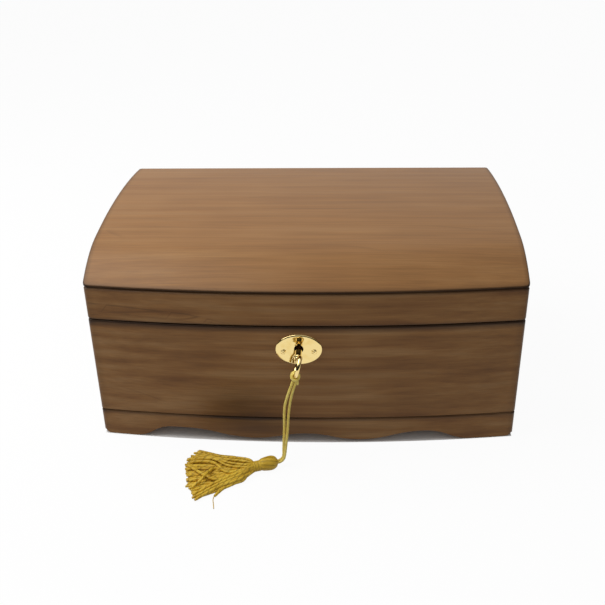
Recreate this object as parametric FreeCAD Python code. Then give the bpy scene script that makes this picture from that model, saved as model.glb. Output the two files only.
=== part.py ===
import FreeCAD, Part
import math
import os

# Keepsake box with a bowed front, a domed lid on two hinges, a box lock with its
# key in it, and a tassel on the key. Millimetres, +Z up, +Y to the back.
# Everything is drawn with Y = 0 at the front corners and moved at export, so that
# the origin lies on the floor under the middle of the outline, key included.

# Case
box_width = 349.0
box_depth = 236.0        # front corners to back face
bow_rise = 11.1          # how far the front swells out at its middle
wall = 10.0              # boards of the case, the lid rim and the skirt
front_corner_round = 4.0
back_corner_round = 3.0
skirt_height = 24.4
rim_height = 112.5       # top of the case
seam_gap = 0.5           # case to closed lid
lid_rim_height = 29.5
lid_edge_height = 9.5    # edge of the lid's top at its back
crown_rise = 11.55       # lid top, back edge to crown
crown_lead = 14.3        # crown ahead of the middle of the depth
shoulder_radius = 113.0  # rounder fall of the top towards its front
shoulder_edge = 2.5      # edge of the lid's top along its front
seam_round = 1.5         # arrises on each side of the seam
skirt_groove = 1.1       # arrises that meet as a groove above the skirt
top_round = 1.1          # upper arris of the lid's top
quirk_top = 0.9          # bevel under the lid's top
quirk_rim = 1.3          # bevel on the lid rim below it

# Bottom board, linings and blocks
bottom_thickness = 5.0
bottom_lift = 3.6        # underside of the bottom board above the skirt
bottom_tongue = 4.0      # how deep the board sits in the walls
lining_thickness = 1.5
lining_drop = 8.5        # lining's upper edge below the rim
lining_clearance = 1.0   # lining to the lock's back plate
block_leg = 16.0
block_floor_gap = 2.0

# Scalloped lower edge of the skirt: points with a level tangent, foot to foot
front_scallops = [
    (-147.0, 0.0),
    (-114.0, 11.2),
    (-104.0, 11.2),
    (-43.0, 3.2),
    (0.0, 8.5),
    (45.0, 2.4),
    (99.0, 10.0),
    (140.0, 0.0),
]
side_foot = 26.0         # length of each side foot
side_arch_run = 30.0     # from foot to full height
side_arch_height = 10.0

# Lock
lock_shift = -4.7        # the lock sits a little left of the middle
lock_drop = 20.1         # key axis below the rim
case_width = 46.0
lock_flange = 6.0        # back plate and selvedge past the lock case, at each end
case_depth = 8.4
case_below_key = 9.8
case_sheet = 0.8
back_plate_below_key = 11.5
lock_plate = 1.2         # thickness of the lock's back plate
selvedge_thickness = 1.5
drill_pin_radius = 1.2
drill_pin_length = 11.0
stud_radius = 0.9
stud_places = (-12.0, 9.5)
stud_height = 5.7        # above the key axis
stud_clearance = 0.15
lock_screw_low = -7.0
lock_screw_high = 7.0

# Bolt, measured from the key axis
bolt_thickness = 2.5
bolt_inset = 1.9         # back of the bolt to the back of the case
bolt_travel = 4.0
bolt_left = -16.0
bolt_right = 17.0
bolt_bottom = -8.4
bolt_top = 8.1
nose_height = 3.0
nose_lift = 2.7          # underside of a nose above the bolt's top edge
nose_length = 3.8
post_width = 2.5
nose_gap = 0.6           # nose tip to staple, unlocked
bolt_window = 3.3        # half height of the window round the key
window_left = -3.6
window_right = 7.2
notch_right = 1.8
notch_bottom = -6.8

# Link plate with two staples, on the lid
link_overlap = 4.0       # link plate past the lock case, at each end
link_thickness = 1.4
staple_places = (-9.0, 9.0)
staple_thickness = 2.0
staple_front = 6.0       # front edge of a staple before the inner face of the wall
staple_back = 0.4
staple_bottom = 9.2      # above the key axis
staple_web = 1.0
staple_window_height = 4.2
staple_clearance = 0.5
bolt_clearance = 0.6     # bolt to the staple's window, front and back
link_screw_inset = 2.0   # link screws inside the lock case's ends

# Lock plate outside
plate_width = 37.3
plate_height = 27.5
plate_drop = 0.2         # middle of the plate below the key axis
plate_thickness = 1.2
plate_edge_round = 0.4
plate_pin_x = 12.3
plate_pin_drop = 1.9
plate_pin_head = 2.0
plate_pin_rise = 0.8
plate_pin_shank = 0.8
plate_pin_length = 9.0
keyhole_radius = 3.5
keyhole_lift = 0.5
keyhole_slot = 2.8
keyhole_clearance = 0.3  # keyhole in the board, past the one in the plate
bit_clearance = 0.8      # under the bit, in the keyhole
barrel_clearance = 0.3   # round the barrel, in the lock case

# Key
barrel_radius = 2.7
barrel_bore_clearance = 0.05
barrel_tip_gap = 0.5     # tip of the barrel to the lock's back plate
bore_end_gap = 1.0
bit_reach = 6.0
bit_thickness = 1.8
bit_length = 5.0
bit_tip_gap = 0.4
ward_slot = 1.2
collar_radius = 3.5
collar_length = 2.0
collar_round = 0.8
bow_reach = 24.3         # lock plate to the middle of the ring
bow_radius = 9.5
bow_wire = 1.65
bow_twist = 14.0         # the ring leans this far from upright
withdraw_room = 10.0     # barrel tip to lock plate with the key drawn out

# Hinges
hinge_inset = 59.5       # end of the box to the middle of a hinge
hinge_width = 32.0
hinge_leaf = 1.5
hinge_leaf_reach = 8.0   # leaf onto the wall
hinge_offset = 2.0       # pin behind the back face
knuckle_radius = 2.2
knuckle_count = 5
knuckle_gap = 0.2
hinge_pin_radius = 1.1
hinge_pin_clearance = 0.05
leaf_gap = 0.1
lid_open_angle = 95.0
heel_slack = 0.4         # degrees past full opening at which the heels meet
heel_inner = 2.5
heel_outer = 4.8
heel_thickness = 1.4
hinge_screw_pitch = 10.5
hinge_screw_inset = 5.0

# Screws
screw_head = 2.2
screw_head_height = 1.1
screw_shank = 1.1
screw_length = 9.0       # head to where the tip starts
screw_tip_radius = 0.3
screw_tip_length = 1.6
screw_slot = 0.5

# Cord and tassel: the route's points lie in the drawing's own frame, top to bottom
cord_diameter = 2.2
hitch_clearance = 0.1
hitch_pitch = 2.4
bend_share = 0.45        # of the shorter run beside it that a bend takes
left_strand_points = [
    (-8.15, -37.4, 80.7),
    (-10.3, -37.7, 74.0),
    (-13.2, -38.0, 65.6),
    (-15.6, -38.3, 55.9),
    (-16.1, -38.7, 44.9),
    (-16.2, -39.2, 33.4),
    (-17.0, -39.7, 22.4),
    (-17.4, -40.0, 14.4),
    (-17.4, -40.5, 8.9),
    (-18.75, -41.0, 6.3),
    (-21.184, -41.814, 4.85),
    (-23.987, -42.796, 4.85),
]
right_strand_points = [
    (-5.65, -37.4, 80.2),
    (-7.7, -37.7, 74.2),
    (-10.0, -38.0, 65.9),
    (-11.8, -38.3, 56.1),
    (-12.9, -38.7, 45.1),
    (-13.6, -39.5, 33.7),
    (-14.8, -40.6, 22.6),
    (-15.7, -41.7, 14.4),
    (-16.5, -42.7, 8.9),
    (-17.95, -43.2, 6.3),
    (-20.41, -44.022, 4.85),
    (-23.213, -45.004, 4.85),
]
head_tip = (-23.6, -43.9)
head_lift = 0.05         # underside of the head above the floor
head_turn = 19.3         # the head points this far forward of -X, degrees
head_length = 13.0
head_radius = 4.8
head_tip_radius = 3.2
head_full_place = 0.45   # share of its length at which the head is fullest
neck_radius = 3.5
neck_length = 8.0
fan_length = 55.0
fan_back_angle = 25.0    # the spread threads, each side of -X, degrees
fan_front_angle = 38.0
fan_thickness = 4.6
fan_sections = 5
fan_root_share = 0.8     # half width of the threads at the neck, of its radius
fan_fall = 2.5           # how soon the underside of the threads meets the floor
fan_corner_share = 0.45  # bevel on their upper edges, of their height

# Worked out from the sizes above
half_width = box_width / 2
lid_bottom = rim_height + seam_gap
lid_rim_top = lid_bottom + lid_rim_height
crown_height = lid_rim_top + lid_edge_height + crown_rise
crown_y = box_depth / 2 - crown_lead
crown_radius = ((box_depth - crown_y) ** 2 + crown_rise ** 2) / (2 * crown_rise)
bow_radius_plan = (half_width ** 2 + bow_rise ** 2) / (2 * bow_rise)
inner_back = box_depth - wall
inner_half = half_width - wall
bottom_z = skirt_height + bottom_lift
floor_z = bottom_z + bottom_thickness
key_height = rim_height - lock_drop
plate_face = -bow_rise - plate_thickness
case_front = wall - case_depth
selvedge_bottom = rim_height - selvedge_thickness
flange_reach = case_width / 2 + lock_flange
lock_screw_x = case_width / 2 + lock_flange / 2
link_width = case_width + 2 * link_overlap
link_screw_x = case_width / 2 - link_screw_inset
hinge_place = half_width - hinge_inset
hinge_y = box_depth + hinge_offset
hinge_z = rim_height + seam_gap / 2
heel_angle = (lid_open_angle + heel_slack) / 2
key_tip = wall - barrel_tip_gap
bow_y = plate_face - bow_reach
key_withdraw = key_tip - plate_face + withdraw_room
front_extreme = bow_y - bow_radius
back_extreme = hinge_y + heel_outer * math.cos(math.radians(heel_angle))
origin_y = (front_extreme + back_extreme) / 2
margin = 20.0            # how far large cutting tools run past what they cut
overrun = 1.0            # the same, for small ones


def vec(x, y, z):
    return FreeCAD.Vector(x, y, z)


def block(x0, x1, y0, y1, z0, z1):
    return Part.makeBox(x1 - x0, y1 - y0, z1 - z0, vec(x0, y0, z0))


def prism(points, z0, z1):
    corners = [vec(x, y, z0) for x, y in points]
    face = Part.Face(Part.makePolygon(corners + corners[:1]))
    return face.extrude(vec(0, 0, z1 - z0))


def rod(radius, start, end):
    axis = end - start
    return Part.makeCylinder(radius, axis.Length, start, axis)


def is_upright(edge):
    first, last = edge.Vertexes[0].Point, edge.Vertexes[-1].Point
    return abs(first.x - last.x) < 1e-6 and abs(first.y - last.y) < 1e-6


def edges_at(shape, height):
    """Edges that lie wholly in the level plane at this height."""
    found = []
    for edge in shape.Edges:
        box = edge.BoundBox
        if abs(box.ZMin - height) < 1e-4 and abs(box.ZMax - height) < 1e-4:
            found.append(edge)
    return found


def plan_solid(z0, z1):
    """The outline seen from above, bowed at the front, with rounded corners."""
    left = vec(-half_width, 0, z0)
    right = vec(half_width, 0, z0)
    back_right = vec(half_width, box_depth, z0)
    back_left = vec(-half_width, box_depth, z0)
    bow = Part.Arc(left, vec(0, -bow_rise, z0), right).toShape()
    sides = Part.makePolygon([right, back_right, back_left, left])
    face = Part.Face(Part.Wire([bow] + sides.Edges))
    solid = face.extrude(vec(0, 0, z1 - z0))
    upright = [edge for edge in solid.Edges if is_upright(edge)]
    front = [edge for edge in upright if edge.CenterOfMass.y < wall]
    solid = solid.makeFillet(front_corner_round, front)
    upright = [edge for edge in solid.Edges if is_upright(edge)]
    back = [edge for edge in upright if edge.CenterOfMass.y > box_depth - 1e-3
            and abs(edge.CenterOfMass.x) > half_width - 1e-3]
    return solid.makeFillet(back_corner_round, back)


def hollow(solid):
    """Take the inside out of an outline solid, leaving a ring of boards."""
    box = solid.BoundBox
    inside = block(-inner_half, inner_half, wall, inner_back, box.ZMin - margin, box.ZMax + margin)
    return solid.cut(inside)


def mitred(ring):
    """Split a ring of boards at its mitred corners: front, left, right, back."""
    z0 = ring.BoundBox.ZMin - margin
    z1 = ring.BoundBox.ZMax + margin
    out = half_width + margin
    inn = inner_half - margin
    front_in = wall + margin
    back_in = inner_back - margin
    back_out = box_depth + margin
    front = [(-out, -margin), (out, -margin), (inn, front_in), (-inn, front_in)]
    left = [(-out, -margin), (-inn, front_in), (-inn, back_in), (-out, back_out)]
    right = [(-x, y) for x, y in reversed(left)]
    back = [(-out, back_out), (-inn, back_in), (inn, back_in), (out, back_out)]
    return [ring.common(prism(points, z0, z1)) for points in (front, left, right, back)]


def level_curve(x0, z0, x1, z1):
    """An S of two equal arcs between two points, level at both ends, each as three points."""
    run, rise = x1 - x0, z1 - z0
    if abs(rise) < 1e-9:
        return [[(x0, z0), (x1, z1)]]
    radius = (run ** 2 + rise ** 2) / (4 * abs(rise))
    turn = 2 * math.atan2(abs(rise), run)
    along = radius * math.sin(turn / 2)
    up = math.copysign(radius * (1 - math.cos(turn / 2)), rise)
    middle = ((x0 + x1) / 2, (z0 + z1) / 2)
    first = [(x0, z0), (x0 + along, z0 + up), middle]
    second = [middle, (x1 - along, z1 - up), (x1, z1)]
    return [first, second]


def scallop_profile(stations, low, high, top):
    """Edges of a board's face with scallops along its lower edge, as lists of (x, z)."""
    runs = [[(low, 0.0), stations[0]]]
    for start, end in zip(stations, stations[1:]):
        runs += level_curve(*start, *end)
    runs += [[stations[-1], (high, 0.0)], [(high, 0.0), (high, top)]]
    runs += [[(high, top), (low, top)], [(low, top), (low, 0.0)]]
    return runs


def profile_solid(runs, place, thickness):
    """Extrude a closed outline, given as lines and arcs; place puts (u, v) into space."""
    edges = []
    for run in runs:
        points = [place(u, v) for u, v in run]
        if len(points) == 2:
            edges.append(Part.LineSegment(*points).toShape())
        else:
            edges.append(Part.Arc(*points).toShape())
    return Part.Face(Part.Wire(edges)).extrude(thickness)


def skirt_boards():
    solid = plan_solid(-margin, skirt_height)
    solid = solid.makeChamfer(skirt_groove, edges_at(solid, skirt_height))
    front, left, right, back = mitred(hollow(solid))
    top = skirt_height + margin
    out = half_width + margin
    runs = scallop_profile(front_scallops, -out, out, top)
    front_form = profile_solid(runs, lambda u, v: vec(u, -margin - bow_rise, v),
                               vec(0, 2 * margin + bow_rise + wall, 0))
    side_stations = [
        (side_foot, 0.0),
        (side_foot + side_arch_run, side_arch_height),
        (box_depth - side_foot - side_arch_run, side_arch_height),
        (box_depth - side_foot, 0.0),
    ]
    side_runs = scallop_profile(side_stations, -margin, box_depth + margin, top)
    side_form = profile_solid(side_runs, lambda u, v: vec(-out, u, v), vec(2 * out, 0, 0))
    back_form = block(-out, out, 0, box_depth + margin, 0, top)
    return {
        "skirt_front": front.common(front_form),
        "skirt_left": left.common(side_form),
        "skirt_right": right.common(side_form),
        "skirt_back": back.common(back_form),
    }


def case_boards():
    solid = plan_solid(skirt_height, rim_height)
    solid = solid.makeFillet(seam_round, edges_at(solid, rim_height))
    solid = solid.makeChamfer(skirt_groove, edges_at(solid, skirt_height))
    ring = hollow(solid).cut(bottom_board())
    front, left, right, back = mitred(ring)
    front = front.cut(lock_recess())
    front = front.cut(board_keyhole())
    for tool in plate_pins() + lock_screws() + selvedge_screws():
        front = front.cut(tool)
    for side in (-1, 1):
        back = back.cut(leaf_blank(side, False))
    for tool in hinge_screws(False):
        back = back.cut(tool)
    return {"case_front": front, "case_left": left, "case_right": right, "case_back": back}


def bottom_board():
    reach = inner_half + bottom_tongue
    return block(-reach, reach, wall - bottom_tongue, inner_back + bottom_tongue,
                 bottom_z, floor_z)


def corner_blocks():
    """Glue blocks in the corners under the bottom board."""
    blocks = {}
    for y, front_back, into in ((wall, "front", 1), (inner_back, "back", -1)):
        for side, name in ((-1, "left"), (1, "right")):
            corner = (side * inner_half, y)
            along = (side * (inner_half - block_leg), y)
            deep = (side * inner_half, y + into * block_leg)
            node = "corner_block_" + front_back + "_" + name
            blocks[node] = prism([corner, along, deep], block_floor_gap, bottom_z)
    return blocks


def linings():
    floor_top = floor_z + lining_thickness
    top = rim_height - lining_drop
    inner_front = wall + lining_thickness
    inner_rear = inner_back - lining_thickness
    front = block(-inner_half, inner_half, wall, inner_front, floor_top, top)
    gap = flange_reach + lining_clearance
    front = front.cut(block(lock_shift - gap, lock_shift + gap, wall - overrun, inner_front + overrun,
                            key_height - back_plate_below_key - lining_clearance, rim_height))
    side = inner_half - lining_thickness
    return {
        "lining_floor": block(-inner_half, inner_half, wall, inner_back, floor_z, floor_top),
        "lining_front": front,
        "lining_back": block(-inner_half, inner_half, inner_rear, inner_back, floor_top, top),
        "lining_left": block(-inner_half, -side, inner_front, inner_rear, floor_top, top),
        "lining_right": block(side, inner_half, inner_front, inner_rear, floor_top, top),
    }


def screw(x, y, z, axis):
    """A countersunk screw with its flat head at a point, driven along an axis."""
    start = vec(x, y, z)
    head = Part.makeCone(screw_head, screw_shank, screw_head_height, start, axis)
    shank = Part.makeCylinder(screw_shank, screw_length, start, axis)
    tip = Part.makeCone(screw_shank, screw_tip_radius, screw_tip_length,
                        start + axis * screw_length, axis)
    return head.fuse(shank).fuse(tip).removeSplitter()


def slotted(body, x, y, z, axis):
    """Cut the driver's slot across a screw's head."""
    slot = Part.makeBox(2 * screw_head, screw_slot, 2 * screw_slot,
                        vec(-screw_head, -screw_slot / 2, -screw_slot))
    slot.Placement = FreeCAD.Placement(vec(x, y, z), FreeCAD.Rotation(vec(0, 0, 1), axis))
    return body.cut(slot)


def slotted_group(places):
    return Part.makeCompound([slotted(screw(*place), *place) for place in places])


def lock_recess():
    """Room for the lock case in the front board, open to the inside and the rim."""
    half = case_width / 2
    pocket = block(lock_shift - half, lock_shift + half, case_front, wall + overrun,
                   key_height - case_below_key, rim_height + overrun)
    rebate = block(lock_shift - flange_reach, lock_shift + flange_reach, case_front, wall + overrun,
                   selvedge_bottom, rim_height + overrun)
    return pocket.fuse(rebate)


def board_keyhole():
    return keyhole(keyhole_radius + keyhole_clearance, keyhole_slot + 2 * keyhole_clearance,
                   -bow_rise - margin, wall)


def keyhole(radius, slot, y0, y1, lift=0.0):
    """A round hole with a slot below it for the bit, along Y."""
    x, z = lock_shift, key_height
    hole = rod(radius, vec(x, y0, z + lift), vec(x, y1, z + lift))
    low = bit_reach + bit_clearance
    return hole.fuse(block(x - slot / 2, x + slot / 2, y0, y1, z - low, z))


def lock_screw_places():
    places = []
    for side in (-1, 1):
        for height in (lock_screw_low, lock_screw_high):
            places.append((lock_shift + side * lock_screw_x, wall + lock_plate,
                           key_height + height, vec(0, -1, 0)))
    return places


def selvedge_screw_places():
    y = wall - case_depth / 2
    return [(lock_shift + side * lock_screw_x, y, rim_height, vec(0, 0, -1)) for side in (-1, 1)]


def link_screw_places():
    y = wall - case_depth / 2
    return [(lock_shift + side * link_screw_x, y, lid_bottom, vec(0, 0, 1)) for side in (-1, 1)]


def lock_screws():
    return [screw(*place) for place in lock_screw_places()]


def selvedge_screws():
    return [screw(*place) for place in selvedge_screw_places()]


def studs():
    """Two studs that the bolt slides on."""
    y0 = case_front + case_sheet
    return [rod(stud_radius, vec(lock_shift + x, y0, key_height + stud_height),
                vec(lock_shift + x, wall, key_height + stud_height)) for x in stud_places]


def lock_case():
    half = case_width / 2
    low = key_height - case_below_key
    pan = block(lock_shift - half, lock_shift + half, case_front, wall, low, selvedge_bottom)
    inside = block(lock_shift - half + case_sheet, lock_shift + half - case_sheet,
                   case_front + case_sheet, wall + overrun, low + case_sheet,
                   selvedge_bottom + overrun)
    return pan.cut(inside).cut(barrel_hole())


def barrel_hole():
    return keyhole(barrel_radius + barrel_clearance, keyhole_slot, case_front - overrun, wall)


def lock_back_plate():
    plate = block(lock_shift - flange_reach, lock_shift + flange_reach, wall, wall + lock_plate,
                  key_height - back_plate_below_key, selvedge_bottom)
    for tool in lock_screws() + [drill_pin()]:
        plate = plate.cut(tool)
    return plate


def drill_pin():
    """The pin that the key's barrel turns on, riveted in the back plate."""
    axis_end = vec(lock_shift, wall + lock_plate, key_height)
    return rod(drill_pin_radius, vec(lock_shift, wall - drill_pin_length, key_height), axis_end)


def staple_y():
    return wall - staple_front, wall - staple_back


def lock_selvedge():
    plate = block(lock_shift - flange_reach, lock_shift + flange_reach, case_front, wall + lock_plate,
                  selvedge_bottom, rim_height)
    front, back = staple_y()
    for place in staple_places:
        x = lock_shift + place
        reach = staple_thickness / 2 + staple_clearance
        plate = plate.cut(block(x - reach, x + reach, front - 2 * staple_clearance,
                                back + staple_clearance, selvedge_bottom - overrun,
                                rim_height + overrun))
    for tool in selvedge_screws():
        plate = plate.cut(tool)
    return plate


def bolt():
    """Flat bolt with two noses that run into the staples as it slides to the left."""
    x, z = lock_shift, key_height
    y1 = wall - bolt_inset
    y0 = y1 - bolt_thickness
    body = block(x + bolt_left, x + bolt_right, y0, y1, z + bolt_bottom, z + bolt_top)
    top = z + bolt_top + nose_lift + nose_height
    for place in staple_places:
        tip = x + place + staple_thickness / 2 + nose_gap
        post = block(tip + nose_length, tip + nose_length + post_width, y0, y1,
                     z + bolt_top - overrun, top)
        nose = block(tip, tip + nose_length + overrun, y0, y1, top - nose_height, top)
        body = body.fuse(post).fuse(nose)
    window = block(x + window_left, x + window_right, y0 - overrun, y1 + overrun,
                   z - bolt_window, z + bolt_window)
    notch = block(x + window_left, x + notch_right, y0 - overrun, y1 + overrun,
                  z + notch_bottom, z - bolt_window + overrun)
    body = body.cut(window).cut(notch)
    reach = stud_radius + stud_clearance
    for place in stud_places:
        slot = block(x + place - reach, x + place + reach + bolt_travel,
                     y0 - overrun, y1 + overrun, z + stud_height - reach, z + stud_height + reach)
        body = body.cut(slot)
    return body.removeSplitter()


def link_plate_blank():
    half = link_width / 2
    return block(lock_shift - half, lock_shift + half, case_front, wall,
                 lid_bottom, lid_bottom + link_thickness)


def link_plate():
    """Plate in the lid's edge with two staples that drop into the lock."""
    plate = link_plate_blank()
    front, back = staple_y()
    y1 = wall - bolt_inset
    y0 = y1 - bolt_thickness
    for place in staple_places:
        x = lock_shift + place
        half = staple_thickness / 2
        tab = block(x - half, x + half, front, back, key_height + staple_bottom,
                    lid_bottom + overrun)
        low = key_height + staple_bottom + staple_web
        window = block(x - half - overrun, x + half + overrun, y0 - bolt_clearance,
                       y1 + bolt_clearance, low, low + staple_window_height)
        plate = plate.fuse(tab.cut(window))
    for tool in link_screws():
        plate = plate.cut(tool)
    return plate.removeSplitter()


def link_screws():
    return [screw(*place) for place in link_screw_places()]


def plate_pins():
    """Round-headed pins that hold the lock plate."""
    pins = []
    for side in (-1, 1):
        x = lock_shift + side * plate_pin_x
        z = key_height - plate_pin_drop
        sphere_radius = (plate_pin_head ** 2 + plate_pin_rise ** 2) / (2 * plate_pin_rise)
        centre = vec(x, plate_face - plate_pin_rise + sphere_radius, z)
        ball = Part.makeSphere(sphere_radius, centre)
        cap = ball.common(rod(plate_pin_head + overrun, vec(x, plate_face - margin, z),
                              vec(x, plate_face, z)))
        shank = rod(plate_pin_shank, vec(x, plate_face, z),
                    vec(x, plate_face + plate_pin_length, z))
        pins.append(cap.fuse(shank).removeSplitter())
    return pins


def escutcheon():
    """Oval lock plate, its edge eased on the outside."""
    centre = vec(lock_shift, -bow_rise, key_height - plate_drop)
    oval = Part.Ellipse(centre, plate_width / 2, plate_height / 2)
    oval.rotate(FreeCAD.Placement(centre, FreeCAD.Rotation(vec(1, 0, 0), 90), vec(0, 0, 0)))
    face = Part.Face(Part.Wire(oval.toShape()))
    plate = face.extrude(vec(0, -plate_thickness, 0))
    rim = [edge for edge in plate.Edges if abs(edge.CenterOfMass.y - plate_face) < 1e-3
           and edge.BoundBox.YLength < 1e-3]
    plate = plate.makeFillet(plate_edge_round, rim)
    plate = plate.cut(keyhole(keyhole_radius, keyhole_slot, plate_face - overrun, 0, keyhole_lift))
    for tool in plate_pins():
        plate = plate.cut(tool)
    return plate


def key():
    """Pipe key: ring, collar, barrel bored for the drill pin, and a bit pointing down."""
    x, z = lock_shift, key_height
    ring_back = bow_y + bow_radius - bow_wire
    barrel = rod(barrel_radius, vec(x, key_tip, z), vec(x, ring_back + 2 * bow_wire, z))
    neck = rod(bow_wire, vec(x, key_tip - 2 * collar_length, z), vec(x, ring_back, z))
    collar_y = ring_back + 2 * bow_wire
    collar = rod(collar_radius, vec(x, collar_y + collar_length, z), vec(x, collar_y, z))
    rims = [edge for edge in collar.Edges if edge.Length > collar_radius * 4]
    collar = collar.makeFillet(collar_round, rims)
    ring = Part.makeTorus(bow_radius - bow_wire, bow_wire, vec(x, bow_y, z), vec(1, 0, 0))
    ring.rotate(vec(x, bow_y, z), vec(0, 1, 0), bow_twist)
    bit_y = key_tip - bit_tip_gap
    half = bit_thickness / 2
    bit = block(x - half, x + half, bit_y - bit_length, bit_y, z - bit_reach, z - barrel_radius / 2)
    middle = bit_y - bit_length / 2
    slot = block(x - half - overrun, x + half + overrun, middle - ward_slot / 2,
                 middle + ward_slot / 2, z - bit_reach - overrun, z - bit_reach + ward_slot)
    body = barrel.fuse(neck).fuse(collar).fuse(ring).fuse(bit.cut(slot))
    bore_end = wall - drill_pin_length - bore_end_gap
    bore = rod(drill_pin_radius + barrel_bore_clearance, vec(x, key_tip + overrun, z),
               vec(x, bore_end, z))
    return body.cut(bore)


def knuckle_spans(lid_side):
    """Where one leaf's knuckles run along the hinge, from its left end."""
    pitch = hinge_width / knuckle_count
    spans = []
    for index in range(knuckle_count):
        if (index % 2 == 1) == lid_side:
            start = index * pitch + (knuckle_gap / 2 if index > 0 else 0)
            end = (index + 1) * pitch - (knuckle_gap / 2 if index < knuckle_count - 1 else 0)
            spans.append((start, end))
    return spans


def leaf_blank(side, lid_side):
    """The flat part of a hinge leaf, which is also the shape of its mortise."""
    x0 = side * hinge_place - hinge_width / 2
    z0 = hinge_z + leaf_gap / 2 if lid_side else hinge_z - leaf_gap / 2 - hinge_leaf
    return block(x0, x0 + hinge_width, box_depth - hinge_leaf_reach, hinge_y,
                 z0, z0 + hinge_leaf)


def heel(start, end, inner, up):
    """A bar along the hinge whose flat face meets the other leaf's at full opening."""
    angle = math.radians(heel_angle)
    back, rise = math.cos(angle), math.sin(angle)
    corners = []
    for reach, lift in ((inner, 0), (heel_outer, 0), (heel_outer, heel_thickness),
                        (inner, heel_thickness)):
        y = hinge_y + reach * back - lift * rise
        z = hinge_z + up * (reach * rise + lift * back)
        corners.append(vec(start, y, z))
    face = Part.Face(Part.makePolygon(corners + corners[:1]))
    return face.extrude(vec(end - start, 0, 0))


def hinge_leaf_solid(side, lid_side):
    x0 = side * hinge_place - hinge_width / 2
    leaf = leaf_blank(side, lid_side)
    up = 1 if lid_side else -1
    for start, end in knuckle_spans(not lid_side):
        start_x = x0 + (start - knuckle_gap if start > 0 else -overrun)
        end_x = x0 + (end + knuckle_gap if end < hinge_width else hinge_width + overrun)
        leaf = leaf.cut(rod(heel_inner, vec(start_x, hinge_y, hinge_z),
                            vec(end_x, hinge_y, hinge_z)))
    for start, end in knuckle_spans(lid_side):
        leaf = leaf.fuse(rod(knuckle_radius, vec(x0 + start, hinge_y, hinge_z),
                             vec(x0 + end, hinge_y, hinge_z)))
        leaf = leaf.fuse(heel(x0 + start, x0 + end, hinge_pin_radius, up))
    leaf = leaf.fuse(heel(x0, x0 + hinge_width, heel_inner, up))
    leaf = leaf.cut(rod(hinge_pin_radius + hinge_pin_clearance,
                        vec(x0 - overrun, hinge_y, hinge_z),
                        vec(x0 + hinge_width + overrun, hinge_y, hinge_z)))
    for place in hinge_screw_places(lid_side):
        leaf = leaf.cut(screw(*place))
    return leaf.removeSplitter()


def hinge_pin(side):
    x0 = side * hinge_place - hinge_width / 2
    return rod(hinge_pin_radius, vec(x0, hinge_y, hinge_z), vec(x0 + hinge_width, hinge_y, hinge_z))


def hinge_screw_places(lid_side):
    places = []
    up = 1 if lid_side else -1
    z = hinge_z + up * leaf_gap / 2
    for side in (-1, 1):
        for step in (-1, 0, 1):
            x = side * hinge_place + step * hinge_screw_pitch
            places.append((x, box_depth - hinge_screw_inset, z, vec(0, 0, up)))
    return places


def hinge_screws(lid_side):
    return [screw(*place) for place in hinge_screw_places(lid_side)]


def lid_boards():
    solid = plan_solid(lid_bottom, lid_rim_top)
    solid = solid.makeFillet(seam_round, edges_at(solid, lid_bottom))
    solid = solid.makeChamfer(quirk_rim, edges_at(solid, lid_rim_top))
    front, left, right, back = mitred(hollow(solid))
    front = front.cut(link_plate_blank())
    for tool in link_screws():
        front = front.cut(tool)
    for side in (-1, 1):
        back = back.cut(leaf_blank(side, True))
    for tool in hinge_screws(True):
        back = back.cut(tool)
    return {"lid_front": front, "lid_left": left, "lid_right": right, "lid_back": back}


def shoulder_waste():
    """What lies above the lid's fall to the front, carried round the bow.

    The fall is an arc through the top's front edge that meets the dome in a tangent.
    """
    axis_z = crown_height - crown_radius
    edge_z = lid_rim_top + shoulder_edge
    reach = crown_radius - shoulder_radius
    away = math.hypot(crown_y, edge_z - axis_z)
    share = (away ** 2 + reach ** 2 - shoulder_radius ** 2) / (2 * away * reach)
    lean = math.atan2(crown_y, edge_z - axis_z) - math.acos(share)
    middle = crown_y - reach * math.sin(lean)
    height = axis_z + reach * math.cos(lean)
    touch = middle - shoulder_radius * math.sin(lean)

    def on_arc(back):
        rise = math.sqrt(shoulder_radius ** 2 - (back - middle) ** 2)
        return vec(0, back - bow_rise, height + rise)

    start, half, end = on_arc(-overrun), on_arc(touch / 2), on_arc(touch)
    far = end + vec(0, margin * math.cos(lean), margin * math.sin(lean))
    roof = crown_height + margin
    corners = [end, far, vec(0, far.y, roof), vec(0, start.y, roof), start]
    outline = [Part.Arc(start, half, end).toShape()] + Part.makePolygon(corners).Edges
    face = Part.Face(Part.Wire(outline))
    bow_middle = vec(0, bow_radius_plan - bow_rise, 0)
    sweep = math.degrees(math.asin((half_width + margin) / bow_radius_plan))
    face.rotate(bow_middle, vec(0, 0, 1), -sweep)
    return face.revolve(bow_middle, vec(0, 0, 1), 2 * sweep)


def lid_top():
    """Solid top with a flat underside: a shallow dome with a rounder fall to the front."""
    plan = plan_solid(lid_rim_top, crown_height + margin)
    axis_z = crown_height - crown_radius
    dome = rod(crown_radius, vec(-half_width - margin, crown_y, axis_z),
               vec(half_width + margin, crown_y, axis_z))
    solid = plan.common(dome).cut(shoulder_waste())
    rim = []
    for edge in solid.Edges:
        middle = edge.valueAt((edge.FirstParameter + edge.LastParameter) / 2)
        on_outline = Part.Vertex(middle).distToShape(plan.Shells[0])[0] < 1e-3
        if on_outline and edge.BoundBox.ZMin > lid_rim_top + 1e-3:
            rim.append(edge)
    solid = solid.makeFillet(top_round, rim)
    return solid.makeChamfer(quirk_top, edges_at(solid, lid_rim_top))


def lid_lining():
    return block(-inner_half, inner_half, wall, inner_back,
                 lid_rim_top - lining_thickness, lid_rim_top)


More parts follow.
